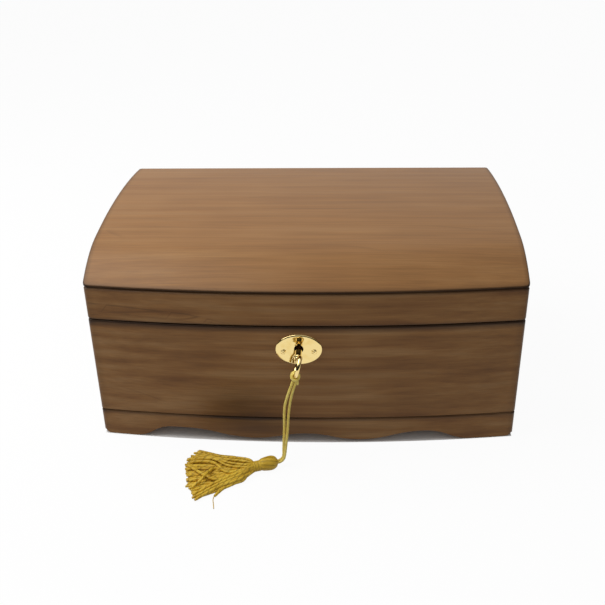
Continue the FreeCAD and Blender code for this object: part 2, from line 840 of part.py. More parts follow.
def cord_tube(points, name):
    """Straight runs joined by tangent arcs, each as large as its two runs allow."""
    route = [vec(*point) for point in points]
    edges = []
    start = route[0]
    radii = []
    for before, corner, after in zip(route, route[1:], route[2:]):
        back, ahead = before - corner, after - corner
        run = min(back.Length, ahead.Length)
        turn = math.pi - back.getAngle(ahead)
        cut = bend_share * run
        radius = cut / math.tan(turn / 2)
        back.normalize()
        ahead.normalize()
        into, out = corner + back * cut, corner + ahead * cut
        inward = back + ahead
        inward.normalize()
        middle = corner + inward * (radius / math.cos(turn / 2) - radius)
        edges.append(Part.LineSegment(start, into).toShape())
        edges.append(Part.Arc(into, middle, out).toShape())
        start = out
        radii.append(radius)
    edges.append(Part.LineSegment(start, route[-1]).toShape())
    path = Part.Wire(edges)
    circle = Part.Circle(route[0], route[1] - route[0], cord_diameter / 2)
    section = Part.Wire(circle.toShape())
    tube = path.makePipeShell([section], True, False)
    expected = math.pi * (cord_diameter / 2) ** 2 * path.Length
    print(name, "length", round(path.Length, 2), "smallest radius", round(min(radii), 2),
          "volume / section x length", round(tube.Volume / expected, 4))
    print(name, "radii", [round(radius, 1) for radius in radii])
    return tube


def cord_hitch():
    """The two turns of the cord's hitch, side by side round the ring's lowest point."""
    x, z = lock_shift, key_height
    ring_middle = bow_radius - bow_wire
    reach = bow_wire + hitch_clearance + cord_diameter / 2
    turns = []
    for side in (-1, 1):
        swing = math.degrees(math.asin(hitch_pitch / 2 / ring_middle)) * side
        turn = Part.makeTorus(reach, cord_diameter / 2, vec(x, bow_y, z - ring_middle), vec(0, 1, 0))
        turn.rotate(vec(x, bow_y, z), vec(1, 0, 0), swing)
        turn.rotate(vec(x, bow_y, z), vec(0, 1, 0), bow_twist)
        turns.append(turn)
    return Part.makeCompound(turns)


def tassel_axis():
    """Middle of the head's tip, and the way the head points, away from the cord."""
    angle = math.radians(head_turn)
    return vec(*head_tip, head_radius + head_lift), vec(-math.cos(angle), -math.sin(angle), 0)


def tassel_head():
    """A barrel, fullest at its middle, turned about its own axis."""
    tip, axis = tassel_axis()
    across = vec(0, 0, 1)
    end = tip + axis * head_length
    middle = tip + axis * (head_length * head_full_place)
    start_edge = tip + across * head_tip_radius
    full = middle + across * head_radius
    end_edge = end + across * neck_radius
    outline = [
        Part.LineSegment(tip, start_edge).toShape(),
        Part.Arc(start_edge, full, end_edge).toShape(),
        Part.LineSegment(end_edge, end).toShape(),
        Part.LineSegment(end, tip).toShape(),
    ]
    return Part.Face(Part.Wire(outline)).revolve(tip, axis, 360)


def tassel_neck():
    tip, axis = tassel_axis()
    return rod(neck_radius, tip + axis * head_length, tip + axis * (head_length + neck_length))


def fan_section(along):
    """Closed upright outline of the spread threads at a share of their length."""
    tip, axis = tassel_axis()
    neck_end = tip + axis * (head_length + neck_length)
    back_slope = math.tan(math.radians(fan_back_angle))
    front_slope = math.tan(math.radians(fan_front_angle))
    run = along * fan_length
    half = neck_radius * fan_root_share
    back_y = neck_end.y + half + run * back_slope
    front_y = neck_end.y - half - run * front_slope
    floor = (neck_end.z - half) * max(0.0, 1 - fan_fall * along)
    top = (neck_end.z + half) * (1 - along) + fan_thickness * along
    x = neck_end.x - run
    corner = (top - floor) * fan_corner_share
    points = [(back_y, floor), (back_y, top - corner), (back_y - corner, top),
              (front_y + corner, top), (front_y, top - corner), (front_y, floor)]
    corners = [vec(x, y, z) for y, z in points]
    return Part.makePolygon(corners + corners[:1])


def tassel_fan():
    """The threads' outer shape as they lie spread on the floor, cut to a round end."""
    shares = [index / (fan_sections - 1) for index in range(fan_sections)]
    fan = Part.makeLoft([fan_section(share) for share in shares], True, True)
    tip, axis = tassel_axis()
    neck_end = tip + axis * (head_length + neck_length)
    reach = Part.makeCylinder(fan_length, 3 * head_radius, vec(neck_end.x, neck_end.y, -overrun))
    return fan.common(reach).cut(tassel_neck())


def all_nodes():
    nodes = {}
    nodes.update(skirt_boards())
    nodes.update(case_boards())
    nodes["bottom_board"] = bottom_board()
    nodes.update(corner_blocks())
    nodes.update(linings())
    nodes["lock_case"] = lock_case()
    nodes["lock_back_plate"] = lock_back_plate()
    nodes["lock_selvedge"] = lock_selvedge()
    nodes["lock_drill_pin"] = drill_pin()
    nodes["lock_studs"] = Part.makeCompound(studs())
    nodes["lock_screws"] = slotted_group(lock_screw_places())
    nodes["selvedge_screws"] = slotted_group(selvedge_screw_places())
    nodes["escutcheon"] = escutcheon()
    nodes["escutcheon_pins"] = Part.makeCompound(plate_pins())
    nodes["bolt"] = bolt()
    for side, name in ((-1, "left"), (1, "right")):
        nodes["hinge_case_leaf_" + name] = hinge_leaf_solid(side, False)
        nodes["hinge_lid_leaf_" + name] = hinge_leaf_solid(side, True)
        nodes["hinge_pin_" + name] = hinge_pin(side)
    nodes["hinge_case_screws"] = slotted_group(hinge_screw_places(False))
    nodes["hinge_lid_screws"] = slotted_group(hinge_screw_places(True))
    nodes.update(lid_boards())
    nodes["lid_top"] = lid_top()
    nodes["lid_lining"] = lid_lining()
    nodes["link_plate"] = link_plate()
    nodes["link_plate_screws"] = slotted_group(link_screw_places())
    nodes["key"] = key()
    nodes["cord_hitch"] = cord_hitch()
    nodes["cord_strand_left"] = cord_tube(left_strand_points, "cord_strand_left")
    nodes["cord_strand_right"] = cord_tube(right_strand_points, "cord_strand_right")
    nodes["tassel_head"] = tassel_head()
    nodes["tassel_neck"] = tassel_neck()
    nodes["tassel_threads"] = tassel_fan()
    return nodes


os.makedirs("parts", exist_ok=True)
for node, shape in all_nodes().items():
    shape.translate(vec(0, -origin_y, 0))
    shape.exportStep("parts/" + node + ".step")
print("origin", round(origin_y, 4), "key axis", lock_shift, round(key_height, 2),
      "hinge pin", round(hinge_y - origin_y, 4), round(hinge_z, 3),
      "withdraw", round(key_withdraw, 2))
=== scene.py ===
import math

import bmesh
import bpy
import numpy as np
from mathutils import Matrix, Vector


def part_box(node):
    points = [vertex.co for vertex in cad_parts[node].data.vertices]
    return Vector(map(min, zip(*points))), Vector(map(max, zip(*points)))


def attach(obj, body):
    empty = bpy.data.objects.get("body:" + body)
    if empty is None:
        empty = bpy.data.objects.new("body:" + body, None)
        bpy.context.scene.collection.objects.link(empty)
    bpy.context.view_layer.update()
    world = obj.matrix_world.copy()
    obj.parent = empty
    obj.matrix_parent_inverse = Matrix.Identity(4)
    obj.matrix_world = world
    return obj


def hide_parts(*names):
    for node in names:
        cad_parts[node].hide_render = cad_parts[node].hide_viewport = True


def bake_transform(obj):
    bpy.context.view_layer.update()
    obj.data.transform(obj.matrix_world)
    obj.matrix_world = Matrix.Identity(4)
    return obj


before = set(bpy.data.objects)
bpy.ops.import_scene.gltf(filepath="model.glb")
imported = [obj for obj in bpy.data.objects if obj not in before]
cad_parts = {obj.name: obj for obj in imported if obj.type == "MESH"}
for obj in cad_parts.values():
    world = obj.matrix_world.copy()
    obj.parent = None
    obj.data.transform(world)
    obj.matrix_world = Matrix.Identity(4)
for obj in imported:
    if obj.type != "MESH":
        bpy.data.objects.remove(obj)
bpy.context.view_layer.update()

mm = 0.001
originY = 97.5652        # the drawing's front corners lie this far in front of the frame's origin

# Sizes that several pieces share, in mm. Every y below is measured from the front corners.
box = {
    "width": 349.0, "depth": 236.0, "bow": 11.1, "wall": 10.0,
    "frontRound": 4.0, "backRound": 3.0,
    "skirtTop": 24.4, "rim": 112.5, "lidBottom": 113.0, "lidRimTop": 142.5,
    "groove": 1.1, "seamRound": 1.5, "rimBevel": 2.2, "easing": 0.6,
}
lock = {"x": -4.7, "z": 92.4, "plateFace": -12.3}
half = box["width"] / 2
innerHalf = half - box["wall"]
innerBack = box["depth"] - box["wall"]


# Node and mesh tools

def toLinear(hexText):
    # an sRGB hex colour as linear values
    parts = [int(hexText[i:i + 2], 16) / 255 for i in (1, 3, 5)]
    return tuple(c / 12.92 if c <= 0.04045 else ((c + 0.055) / 1.055) ** 2.4 for c in parts) + (1.0,)


def addNode(tree, kind, inputs=None, stops=None, **settings):
    # settings are the node's own properties, inputs its sockets' values or links, stops a ramp's colours
    node = tree.nodes.new(kind)
    for name, value in settings.items():
        setattr(node, name, value)
    for name, value in (inputs or {}).items():
        if isinstance(value, bpy.types.NodeSocket):
            tree.links.new(value, node.inputs[name])
        else:
            node.inputs[name].default_value = value
    if stops:
        ramp = node.color_ramp.elements
        while len(ramp) < len(stops):
            ramp.new(0.5)
        for element, (place, colour) in zip(ramp, stops):
            element.position = place
            element.color = colour
    return node


def newMaterial(name):
    material = bpy.data.materials.new(name)
    material.use_nodes = True
    material.node_tree.nodes.clear()
    return material, material.node_tree


def grey(value):
    return (value, value, value, 1.0)


def gridFaces(nu, nv, closeU, closeV):
    # quads between neighbouring points of a grid, wrapped round where it is closed
    u = np.arange(nu if closeU else nu - 1)[:, None]
    v = np.arange(nv if closeV else nv - 1)[None, :]
    un, vn = (u + 1) % nu, (v + 1) % nv
    return np.stack([u * nv + v, un * nv + v, un * nv + vn, u * nv + vn], -1).reshape(-1, 4)


def makePiece(name, surfaces, material, sharpAngle=38.0):
    # each surface is (points nu x nv x 3 in mm, closeU, closeV, capped), joined into one mesh
    verts, faces, start = [], [], 0
    for points, closeU, closeV, capped in surfaces:
        nu, nv = points.shape[:2]
        verts.append(points.reshape(-1, 3))
        faces += (gridFaces(nu, nv, closeU, closeV) + start).tolist()
        if capped:
            faces.append((np.arange(nv) + start).tolist())
            faces.append((np.arange(nv)[::-1] + start + (nu - 1) * nv).tolist())
        start += nu * nv
    places = (np.concatenate(verts) - (0, originY, 0)) * mm
    mesh = bpy.data.meshes.new(name)
    mesh.from_pydata(places.tolist(), [], faces)
    work = bmesh.new()
    work.from_mesh(mesh)
    bmesh.ops.remove_doubles(work, verts=work.verts, dist=2e-6)
    bmesh.ops.recalc_face_normals(work, faces=work.faces)
    work.to_mesh(mesh)
    work.free()
    mesh.shade_smooth()
    mesh.set_sharp_from_angle(angle=math.radians(sharpAngle))
    mesh.materials.append(material)
    piece = bpy.data.objects.new(name, mesh)
    bpy.context.scene.collection.objects.link(piece)
    return piece


def carve(piece, outline, y0, y1, sharpAngle=38.0):
    # takes a prism out of a piece: its outline is (x, z) points in mm, and it runs along y
    ring = np.array(outline, float)
    ends = [np.insert(ring, 1, y, axis=1) for y in (y0, y1)]
    cutter = makePiece("cutter", [(np.stack(ends), False, True, True)], piece.data.materials[0])
    cut = piece.modifiers.new("carve", "BOOLEAN")
    cut.object = cutter
    cut.operation = "DIFFERENCE"
    cut.solver = "EXACT"
    bpy.context.view_layer.update()
    carved = bpy.data.meshes.new_from_object(piece.evaluated_get(bpy.context.evaluated_depsgraph_get()))
    piece.modifiers.remove(cut)
    piece.data = carved
    carved.name = piece.name
    carved.set_sharp_from_angle(angle=math.radians(sharpAngle))
    bpy.data.objects.remove(cutter)


def pointsOf(piece):
    # every vertex of a piece in mm, with y from the front corners
    co = np.zeros(len(piece.data.vertices) * 3, np.float32)
    piece.data.vertices.foreach_get("co", co)
    return co.reshape(-1, 3).astype(float) / mm + (0, originY, 0)


def storeAttribute(piece, name, kind, values):
    layer = piece.data.attributes.new(name, kind, "POINT")
    field = "vector" if kind == "FLOAT_VECTOR" else "value"
    layer.data.foreach_set(field, np.asarray(values, np.float32).ravel())


def placePiece(piece, body, slot, *nodes):
    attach(piece, body)
    if nodes:
        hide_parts(*nodes)
    return piece


# Materials

veneer = {
    "light": "#A47C50", "middle": "#94693C", "dark": "#7B522B", "line": "#1E0D03",
    "fibreMm": 1.1, "bandMm": 8.0, "blotchMm": 34.0, "blotchShare": 0.3, "ringMm": 13.0, "ringBendMm": 30.0,
    "lineShare": 0.14, "fibreShare": 0.17, "roughness": 0.44, "bumpMm": 0.03,
}


def walnutStainedVeneer():
    # Fine-pored hardwood veneer under walnut stain and satin lacquer: soft bands along the grain,
    # a few dark growth lines, and a broad dull shine. Its pattern follows the grain attribute, in mm.
    material, tree = newMaterial("walnutStainedVeneer")
    grain = addNode(tree, "ShaderNodeAttribute", attribute_name="grainMm").outputs["Vector"]
    # this tone holds the heartwood's stain and painted shade in the joints, on the corners and on the lid's
    # side arrises
    tone = addNode(tree, "ShaderNodeAttribute", attribute_name="stainTone").outputs["Fac"]
    figure = addNode(tree, "ShaderNodeAttribute", attribute_name="figureShare").outputs["Fac"]
    drawn = addNode(tree, "ShaderNodeAttribute", attribute_name="growthLine").outputs["Vector"]

    def stretched(alongMm, acrossMm, detail, roughness=0.5):
        scale = (1 / alongMm, 1 / acrossMm, 1 / acrossMm)
        scaled = addNode(tree, "ShaderNodeVectorMath", {0: grain, 1: scale}, operation="MULTIPLY")
        return addNode(tree, "ShaderNodeTexNoise", {"Vector": scaled.outputs[0], "Scale": 1.0,
                       "Detail": detail, "Roughness": roughness}).outputs[0]

    fibre = stretched(70.0, veneer["fibreMm"], 4.0, 0.62)
    band = stretched(190.0, veneer["bandMm"], 3.0)
    blotch = stretched(veneer["blotchMm"] * 1.7, veneer["blotchMm"], 2.0)
    bend = stretched(230.0, 60.0, 1.0)
    mask = stretched(120.0, 26.0, 1.0)

    # growth lines: distance across the board, bent by slow noise, folded into a sawtooth
    parts = addNode(tree, "ShaderNodeSeparateXYZ", {0: grain})
    depth = addNode(tree, "ShaderNodeMath", {0: parts.outputs[1], 1: 0.55, 2: parts.outputs[2]},
                    operation="MULTIPLY_ADD")
    bent = addNode(tree, "ShaderNodeMath", {0: bend, 1: 2 * veneer["ringBendMm"], 2: depth.outputs[0]},
                   operation="MULTIPLY_ADD")
    rings = addNode(tree, "ShaderNodeMath", {0: bent.outputs[0], 1: 1 / veneer["ringMm"]},
                    operation="MULTIPLY")
    saw = addNode(tree, "ShaderNodeMath", {0: rings.outputs[0]}, operation="FRACT")
    thin = addNode(tree, "ShaderNodeValToRGB", {0: saw.outputs[0]},
                   [(0.0, grey(0)), (0.80, grey(0)), (0.93, grey(1)), (0.97, grey(0.1)), (1.0, grey(0))])
    shown = addNode(tree, "ShaderNodeMapRange", {"Value": mask, "From Min": 0.52, "From Max": 0.68})
    lines = addNode(tree, "ShaderNodeMath", {0: thin.outputs[0], 1: shown.outputs[0]}, operation="MULTIPLY")

    bands = addNode(tree, "ShaderNodeMix", {0: veneer["blotchShare"], 2: band, 3: blotch},
                    data_type="FLOAT")
    centred = addNode(tree, "ShaderNodeMath", {0: bands.outputs[0], 1: 0.5}, operation="SUBTRACT")
    figured = addNode(tree, "ShaderNodeMath", {0: centred.outputs[0], 1: figure, 2: 0.5},
                      operation="MULTIPLY_ADD")
    tones = addNode(tree, "ShaderNodeValToRGB", {0: figured.outputs[0]},
                    [(0.30, toLinear(veneer["dark"])), (0.50, toLinear(veneer["middle"])),
                     (0.70, toLinear(veneer["light"]))])
    streak = addNode(tree, "ShaderNodeMapRange", {"Value": fibre, "From Min": 0.3, "From Max": 0.7,
                     "To Min": 1 - veneer["fibreShare"], "To Max": 1 + veneer["fibreShare"] * 0.6})
    streaked = addNode(tree, "ShaderNodeMix", {0: 1.0, 6: tones.outputs[0], 7: streak.outputs[0]},
                       data_type="RGBA", blend_type="MULTIPLY")
    # listed growth lines: the attribute gives the distance to a line in mm, and how strong it is there
    drawnParts = addNode(tree, "ShaderNodeSeparateXYZ", {0: drawn})
    fromLine = addNode(tree, "ShaderNodeMath", {0: drawnParts.outputs[0]}, operation="ABSOLUTE")
    onLine = addNode(tree, "ShaderNodeMapRange", {"Value": fromLine.outputs[0], "From Min": 0.1,
                     "From Max": 0.9, "To Min": 1.0, "To Max": 0.0})
    drawnLine = addNode(tree, "ShaderNodeMath", {0: onLine.outputs[0], 1: drawnParts.outputs[1]},
                        operation="MULTIPLY")
    someLines = addNode(tree, "ShaderNodeMath", {0: lines.outputs[0], 1: veneer["lineShare"]},
                        operation="MULTIPLY")
    lineShare = addNode(tree, "ShaderNodeMath", {0: someLines.outputs[0], 1: drawnLine.outputs[0]},
                        operation="MAXIMUM")
    lined = addNode(tree, "ShaderNodeMix", {0: lineShare.outputs[0], 6: streaked.outputs[2],
                    7: toLinear(veneer["line"])}, data_type="RGBA")
    # stain and painted shade both darken the wood towards the line colour
    stained = addNode(tree, "ShaderNodeMix", {0: tone, 6: lined.outputs[2], 7: toLinear(veneer["line"])},
                      data_type="RGBA")

    rough = addNode(tree, "ShaderNodeMapRange", {"Value": fibre, "To Min": veneer["roughness"] - 0.06,
                    "To Max": veneer["roughness"] + 0.08})
    bump = addNode(tree, "ShaderNodeBump", {"Height": fibre, "Distance": veneer["bumpMm"] * mm,
                   "Strength": 0.5})
    shader = addNode(tree, "ShaderNodeBsdfPrincipled", {"Base Color": stained.outputs[2],
                     "Roughness": rough.outputs[0], "Normal": bump.outputs[0], "IOR": 1.5,
                     "Specular IOR Level": 0.25})
    addNode(tree, "ShaderNodeOutputMaterial", {"Surface": shader.outputs[0]})
    return material


def plainSoftwood():
    # Sawn pine or poplar, unfinished: pale, dry, with soft early-wood and late-wood bands
    material, tree = newMaterial("plainSoftwood")
    place = addNode(tree, "ShaderNodeTexCoord").outputs["Object"]
    scaled = addNode(tree, "ShaderNodeVectorMath", {0: place, 1: (9.0, 210.0, 210.0)}, operation="MULTIPLY")
    band = addNode(tree, "ShaderNodeTexNoise", {"Vector": scaled.outputs[0], "Scale": 1.0, "Detail": 5.0})
    tones = addNode(tree, "ShaderNodeValToRGB", {0: band.outputs[0]},
                    [(0.3, toLinear("#8A6440")), (0.7, toLinear("#B48C60"))])
    bump = addNode(tree, "ShaderNodeBump", {"Height": band.outputs[0], "Distance": 0.0001, "Strength": 0.6})
    shader = addNode(tree, "ShaderNodeBsdfPrincipled", {"Base Color": tones.outputs[0], "Roughness": 0.75,
                     "Normal": bump.outputs[0]})
    addNode(tree, "ShaderNodeOutputMaterial", {"Surface": shader.outputs[0]})
    return material


def brass(name, colour, shadeColour, roughness, waveMm, waveDepthMm):
    # Cast or stamped brass: a warm pale metal. Polishing leaves a slow waviness, handling a faint film.
    material, tree = newMaterial(name)
    place = addNode(tree, "ShaderNodeTexCoord").outputs["Object"]
    wave = addNode(tree, "ShaderNodeTexNoise", {"Vector": place, "Scale": 1 / (waveMm * mm), "Detail": 1.0})
    film = addNode(tree, "ShaderNodeTexNoise", {"Vector": place, "Scale": 120.0, "Detail": 2.0})
    tones = addNode(tree, "ShaderNodeValToRGB", {0: film.outputs[0]},
                    [(0.25, toLinear(shadeColour)), (0.5, toLinear(colour))])
    rough = addNode(tree, "ShaderNodeMapRange", {"Value": film.outputs[0], "To Min": roughness * 1.5,
                    "To Max": roughness * 0.6})
    bump = addNode(tree, "ShaderNodeBump", {"Height": wave.outputs[0], "Distance": waveDepthMm * mm,
                   "Strength": 1.0})
    shader = addNode(tree, "ShaderNodeBsdfPrincipled", {"Base Color": tones.outputs[0], "Metallic": 1.0,
                     "Roughness": rough.outputs[0], "Normal": bump.outputs[0]})
    addNode(tree, "ShaderNodeOutputMaterial", {"Surface": shader.outputs[0]})
    return material


def filedSteel():
    # Mild steel as filed and left bare inside a lock: grey, with fine scratches one way
    material, tree = newMaterial("filedSteel")
    place = addNode(tree, "ShaderNodeTexCoord").outputs["Object"]
    scaled = addNode(tree, "ShaderNodeVectorMath", {0: place, 1: (60.0, 60.0, 3200.0)},
                     operation="MULTIPLY")
    scratch = addNode(tree, "ShaderNodeTexNoise", {"Vector": scaled.outputs[0], "Scale": 1.0,
                      "Detail": 2.0})
    tones = addNode(tree, "ShaderNodeValToRGB", {0: scratch.outputs[0]},
                    [(0.3, toLinear("#8E8F90")), (0.7, toLinear("#B9BABB"))])
    bump = addNode(tree, "ShaderNodeBump", {"Height": scratch.outputs[0], "Distance": 0.00003,
                   "Strength": 0.6})
    shader = addNode(tree, "ShaderNodeBsdfPrincipled", {"Base Color": tones.outputs[0], "Metallic": 1.0,
                     "Roughness": 0.36, "Normal": bump.outputs[0]})
    addNode(tree, "ShaderNodeOutputMaterial", {"Surface": shader.outputs[0]})
    return material


def flockedFelt():
    # Rayon flock on card: matt and deep, with a nap that catches light at a low angle
    material, tree = newMaterial("flockedFelt")
    place = addNode(tree, "ShaderNodeTexCoord").outputs["Object"]
    nap = addNode(tree, "ShaderNodeTexNoise", {"Vector": place, "Scale": 1400.0, "Detail": 3.0})
    brushed = addNode(tree, "ShaderNodeTexNoise", {"Vector": place, "Scale": 28.0, "Detail": 3.0})
    both = addNode(tree, "ShaderNodeMix", {0: 0.5, 2: nap.outputs[0], 3: brushed.outputs[0]},
                   data_type="FLOAT")
    tones = addNode(tree, "ShaderNodeValToRGB", {0: both.outputs[0]},
                    [(0.35, toLinear("#3B1113")), (0.65, toLinear("#5E1E20"))])
    bump = addNode(tree, "ShaderNodeBump", {"Height": nap.outputs[0], "Distance": 0.0003, "Strength": 0.8})
    shader = addNode(tree, "ShaderNodeBsdfPrincipled", {"Base Color": tones.outputs[0], "Roughness": 0.95,
                     "Normal": bump.outputs[0], "Sheen Weight": 0.55, "Sheen Roughness": 0.4,
                     "Sheen Tint": toLinear("#A05050")})
    addNode(tree, "ShaderNodeOutputMaterial", {"Surface": shader.outputs[0]})
    return material


def twistedRayon(name, light, dark, gapShadeColour, gapShadeShare, fibreMm, sheen):
    # Shiny rayon yarn: its plies lie as slanting stripes, drawn from the lay attribute
    # (mm along, turns round, ply phase), with painted shade in the gaps between plies and a silky highlight
    # along each ply
    material, tree = newMaterial(name)
    lay = addNode(tree, "ShaderNodeAttribute", attribute_name="lay").outputs["Vector"]
    place = addNode(tree, "ShaderNodeTexCoord").outputs["Object"]
    parts = addNode(tree, "ShaderNodeSeparateXYZ", {0: lay})
    # painted shade: the gaps between plies darken towards the gap shade colour
    gap = addNode(tree, "ShaderNodeMath", {0: parts.outputs[2], 1: 1.0}, operation="PINGPONG")
    gapShade = addNode(tree, "ShaderNodeMapRange", {"Value": gap.outputs[0], "From Min": 0.0,
                       "From Max": 0.42, "To Min": gapShadeShare, "To Max": 0.0})
    hair = addNode(tree, "ShaderNodeTexNoise", {"Vector": place, "Scale": 1 / (fibreMm * mm),
                   "Detail": 3.0})
    patch = addNode(tree, "ShaderNodeTexNoise", {"Vector": place, "Scale": 90.0, "Detail": 2.0})
    both = addNode(tree, "ShaderNodeMix", {0: 0.5, 2: hair.outputs[0], 3: patch.outputs[0]},
                   data_type="FLOAT")
    tones = addNode(tree, "ShaderNodeValToRGB", {0: both.outputs[0]},
                    [(0.34, toLinear(dark)), (0.62, toLinear(light))])
    shaded = addNode(tree, "ShaderNodeMix", {0: gapShade.outputs[0], 6: tones.outputs[0],
                     7: toLinear(gapShadeColour)}, data_type="RGBA")
    bump = addNode(tree, "ShaderNodeBump", {"Height": hair.outputs[0], "Distance": 0.00012,
                   "Strength": 0.7})
    shader = addNode(tree, "ShaderNodeBsdfPrincipled", {"Base Color": shaded.outputs[2], "Roughness": 0.42,
                     "Normal": bump.outputs[0], "Specular IOR Level": 0.3, "Sheen Weight": sheen,
                     "Sheen Roughness": 0.35, "Sheen Tint": toLinear("#F2DC8C")})
    addNode(tree, "ShaderNodeOutputMaterial", {"Surface": shader.outputs[0]})
    return material


woodFinish = walnutStainedVeneer()
softwood = plainSoftwood()
polishedBrass = brass("polishedBrass", "#F1D896", "#E9CB80", 0.06, 9.0, 0.12)
dullBrass = brass("dullBrass", "#CDAA5E", "#A98643", 0.28, 5.0, 0.02)
steelFinish = filedSteel()
feltFinish = flockedFelt()
# the third colour of each is painted shade for the gaps between plies
cordFinish = twistedRayon("goldRayonCord", "#FFEA84", "#F2D45C", "#B08A28", 0.3, 0.35, 0.3)
threadFinish = twistedRayon("goldRayonThread", "#F0CC48", "#C89A20", "#5A3E00", 0.5, 0.3, 0.1)
print("materials made")


# Camera: the photograph's own viewpoint, found from the box's edges

camera = {
    "azimuth": -2.619, "elevation": 29.215, "roll": 1.116,
    "place": (26.21, -606.83, 467.14), "focalPx": 885.35, "centreRow": 303.89, "imagePx": 605.0,
}


def makeCamera():
    # forward, across and below are the view's own axes, from the three angles
    psi, e, rho = (math.radians(camera[k]) for k in ("azimuth", "elevation", "roll"))
    forward = np.array([math.sin(psi) * math.cos(e), math.cos(psi) * math.cos(e), -math.sin(e)])
    right = np.array([math.cos(psi), -math.sin(psi), 0.0])
    down = np.cross(forward, right)
    across = right * math.cos(rho) + down * math.sin(rho)
    below = down * math.cos(rho) - right * math.sin(rho)
    data = bpy.data.cameras.new("camera")
    data.sensor_width = 36.0
    data.lens = camera["focalPx"] / camera["imagePx"] * data.sensor_width
    data.shift_y = (camera["centreRow"] - camera["imagePx"] / 2) / camera["imagePx"]
    data.clip_start = 0.01
    cam = bpy.data.objects.new("camera", data)
    bpy.context.scene.collection.objects.link(cam)
    place = (np.array(camera["place"]) - (0, originY, 0)) * mm
    turn = np.eye(4)
    turn[:3, 0], turn[:3, 1], turn[:3, 2], turn[:3, 3] = across, -below, -forward, place
    cam.matrix_world = Matrix(turn.tolist())
    bpy.context.scene.camera = cam


makeCamera()
print("camera set")


# Cord: two strands that hang from the key's ring to the tassel, limp, 2.2 mm thick

cord = {
    "diameter": 2.2, "plies": 3, "pitch": 9.0, "lobe": 0.10, "around": 18,
    "blendLow": 58.0, "blendHigh": 78.0,
    "left": [(-8.15, -37.4, 80.7), (-10.3, -37.7, 74.0), (-13.2, -38.0, 65.6), (-15.6, -38.3, 55.9),
             (-16.1, -38.7, 44.9), (-16.2, -39.2, 33.4), (-17.0, -39.7, 22.4), (-17.4, -40.0, 14.4),
             (-17.4, -40.5, 8.9), (-18.75, -41.0, 6.3), (-21.184, -41.814, 4.85), (-23.987, -42.796, 4.85)],
    "right": [(-5.65, -37.4, 80.2), (-7.7, -37.7, 74.2), (-10.0, -38.0, 65.9), (-11.8, -38.3, 56.1),
              (-12.9, -38.7, 45.1), (-13.6, -39.5, 33.7), (-14.8, -40.6, 22.6), (-15.7, -41.7, 14.4),
              (-16.5, -42.7, 8.9), (-17.95, -43.2, 6.3), (-20.41, -44.022, 4.85), (-23.213, -45.004, 4.85)],
}


def splinePoints(name, points):
    # the route's own NURBS line, read back as points in mm
    curve = bpy.data.curves.new(name, "CURVE")
    curve.dimensions = "3D"
    curve.resolution_u = 16
    spline = curve.splines.new("NURBS")
    spline.points.add(len(points) - 1)
    for point, place in zip(spline.points, points):
        point.co = (*place, 1.0)
    spline.order_u = 3
    spline.use_endpoint_u = True
    holder = bpy.data.objects.new(name, curve)
    bpy.context.scene.collection.objects.link(holder)
    bpy.context.view_layer.update()
    line = bpy.data.meshes.new_from_object(holder.evaluated_get(bpy.context.evaluated_depsgraph_get()))
    co = np.zeros(len(line.vertices) * 3, np.float32)
    line.vertices.foreach_get("co", co)
    bpy.data.objects.remove(holder)
    return co.reshape(-1, 3).astype(float)


def alongLength(path):
    # distance from the first point of a path to each of its points
    return np.concatenate([[0.0], np.cumsum(np.linalg.norm(np.diff(path, axis=0), axis=1))])


wholePlies = 64.0        # added to a ply's phase, so that it stays above zero


def tubeSurface(path, radius, plies, pitch, lobe, around, up):
    # A yarn: a circle carried along the path, swollen into plies that turn once every pitch.
    # up is a direction that the path never runs along. Also gives the lay of each point.
    ahead = np.gradient(path, axis=0)
    ahead /= np.linalg.norm(ahead, axis=1)[:, None]
    side = np.cross(ahead, up)
    side /= np.linalg.norm(side, axis=1)[:, None]
    over = np.cross(side, ahead)
    along = alongLength(path)[:, None]
    turn = np.linspace(0, 2 * np.pi, around, endpoint=False)[None, :]
    share = turn / (2 * np.pi)
    phase = plies * (share - along / pitch)
    reach = np.reshape(radius, (-1, 1)) * (1 - lobe * (1 - np.abs(np.sin(np.pi * phase))))
    out = np.cos(turn)[..., None] * side[:, None] + np.sin(turn)[..., None] * over[:, None]
    points = path[:, None] + reach[..., None] * out
    lay = np.stack(np.broadcast_arrays(along, share, phase + wholePlies), -1)
    return points, lay


def makeYarns(name, yarns, material):
    # one mesh of several yarns, each a (points, lay) pair
    piece = makePiece(name, [(points, False, True, True) for points, lay in yarns], material, 80.0)
    lays = np.concatenate([lay.reshape(-1, 3) for points, lay in yarns])
    storeAttribute(piece, "lay", "FLOAT_VECTOR", lays)
    return piece


def makeStrand(side):
    path = splinePoints("route", cord[side])
    tube, lay = tubeSurface(path, cord["diameter"] / 2, cord["plies"], cord["pitch"], cord["lobe"],
                            cord["around"], (0.0, 1.0, 0.0))
    name = "cordStrand" + side.capitalize()
    piece = makeYarns(name, [(tube, lay)], cordFinish)
    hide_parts("cord_strand_" + side)
    route = (path - (0, originY, 0)) * mm
    length = alongLength(route)[-1]
    print(name, "length", round(length, 4))
    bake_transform(piece)
    return piece, route, length


strands = {side: makeStrand(side) for side in ("left", "right")}
print("cord strands made")


# Wooden boards: one outline for the whole box, shared out between front, sides and back at the mitres

def arc(cx, cy, radius, start, end, count):
    # points on a circle between two angles in degrees
    angle = np.radians(np.linspace(start, end, count))
    return np.stack([cx + radius * np.cos(angle), cy + radius * np.sin(angle)], -1)


def joined(*runs):
    # runs end to end, each leaving out its first point after the first run
    return np.concatenate([runs[0]] + [run[1:] for run in runs[1:]])


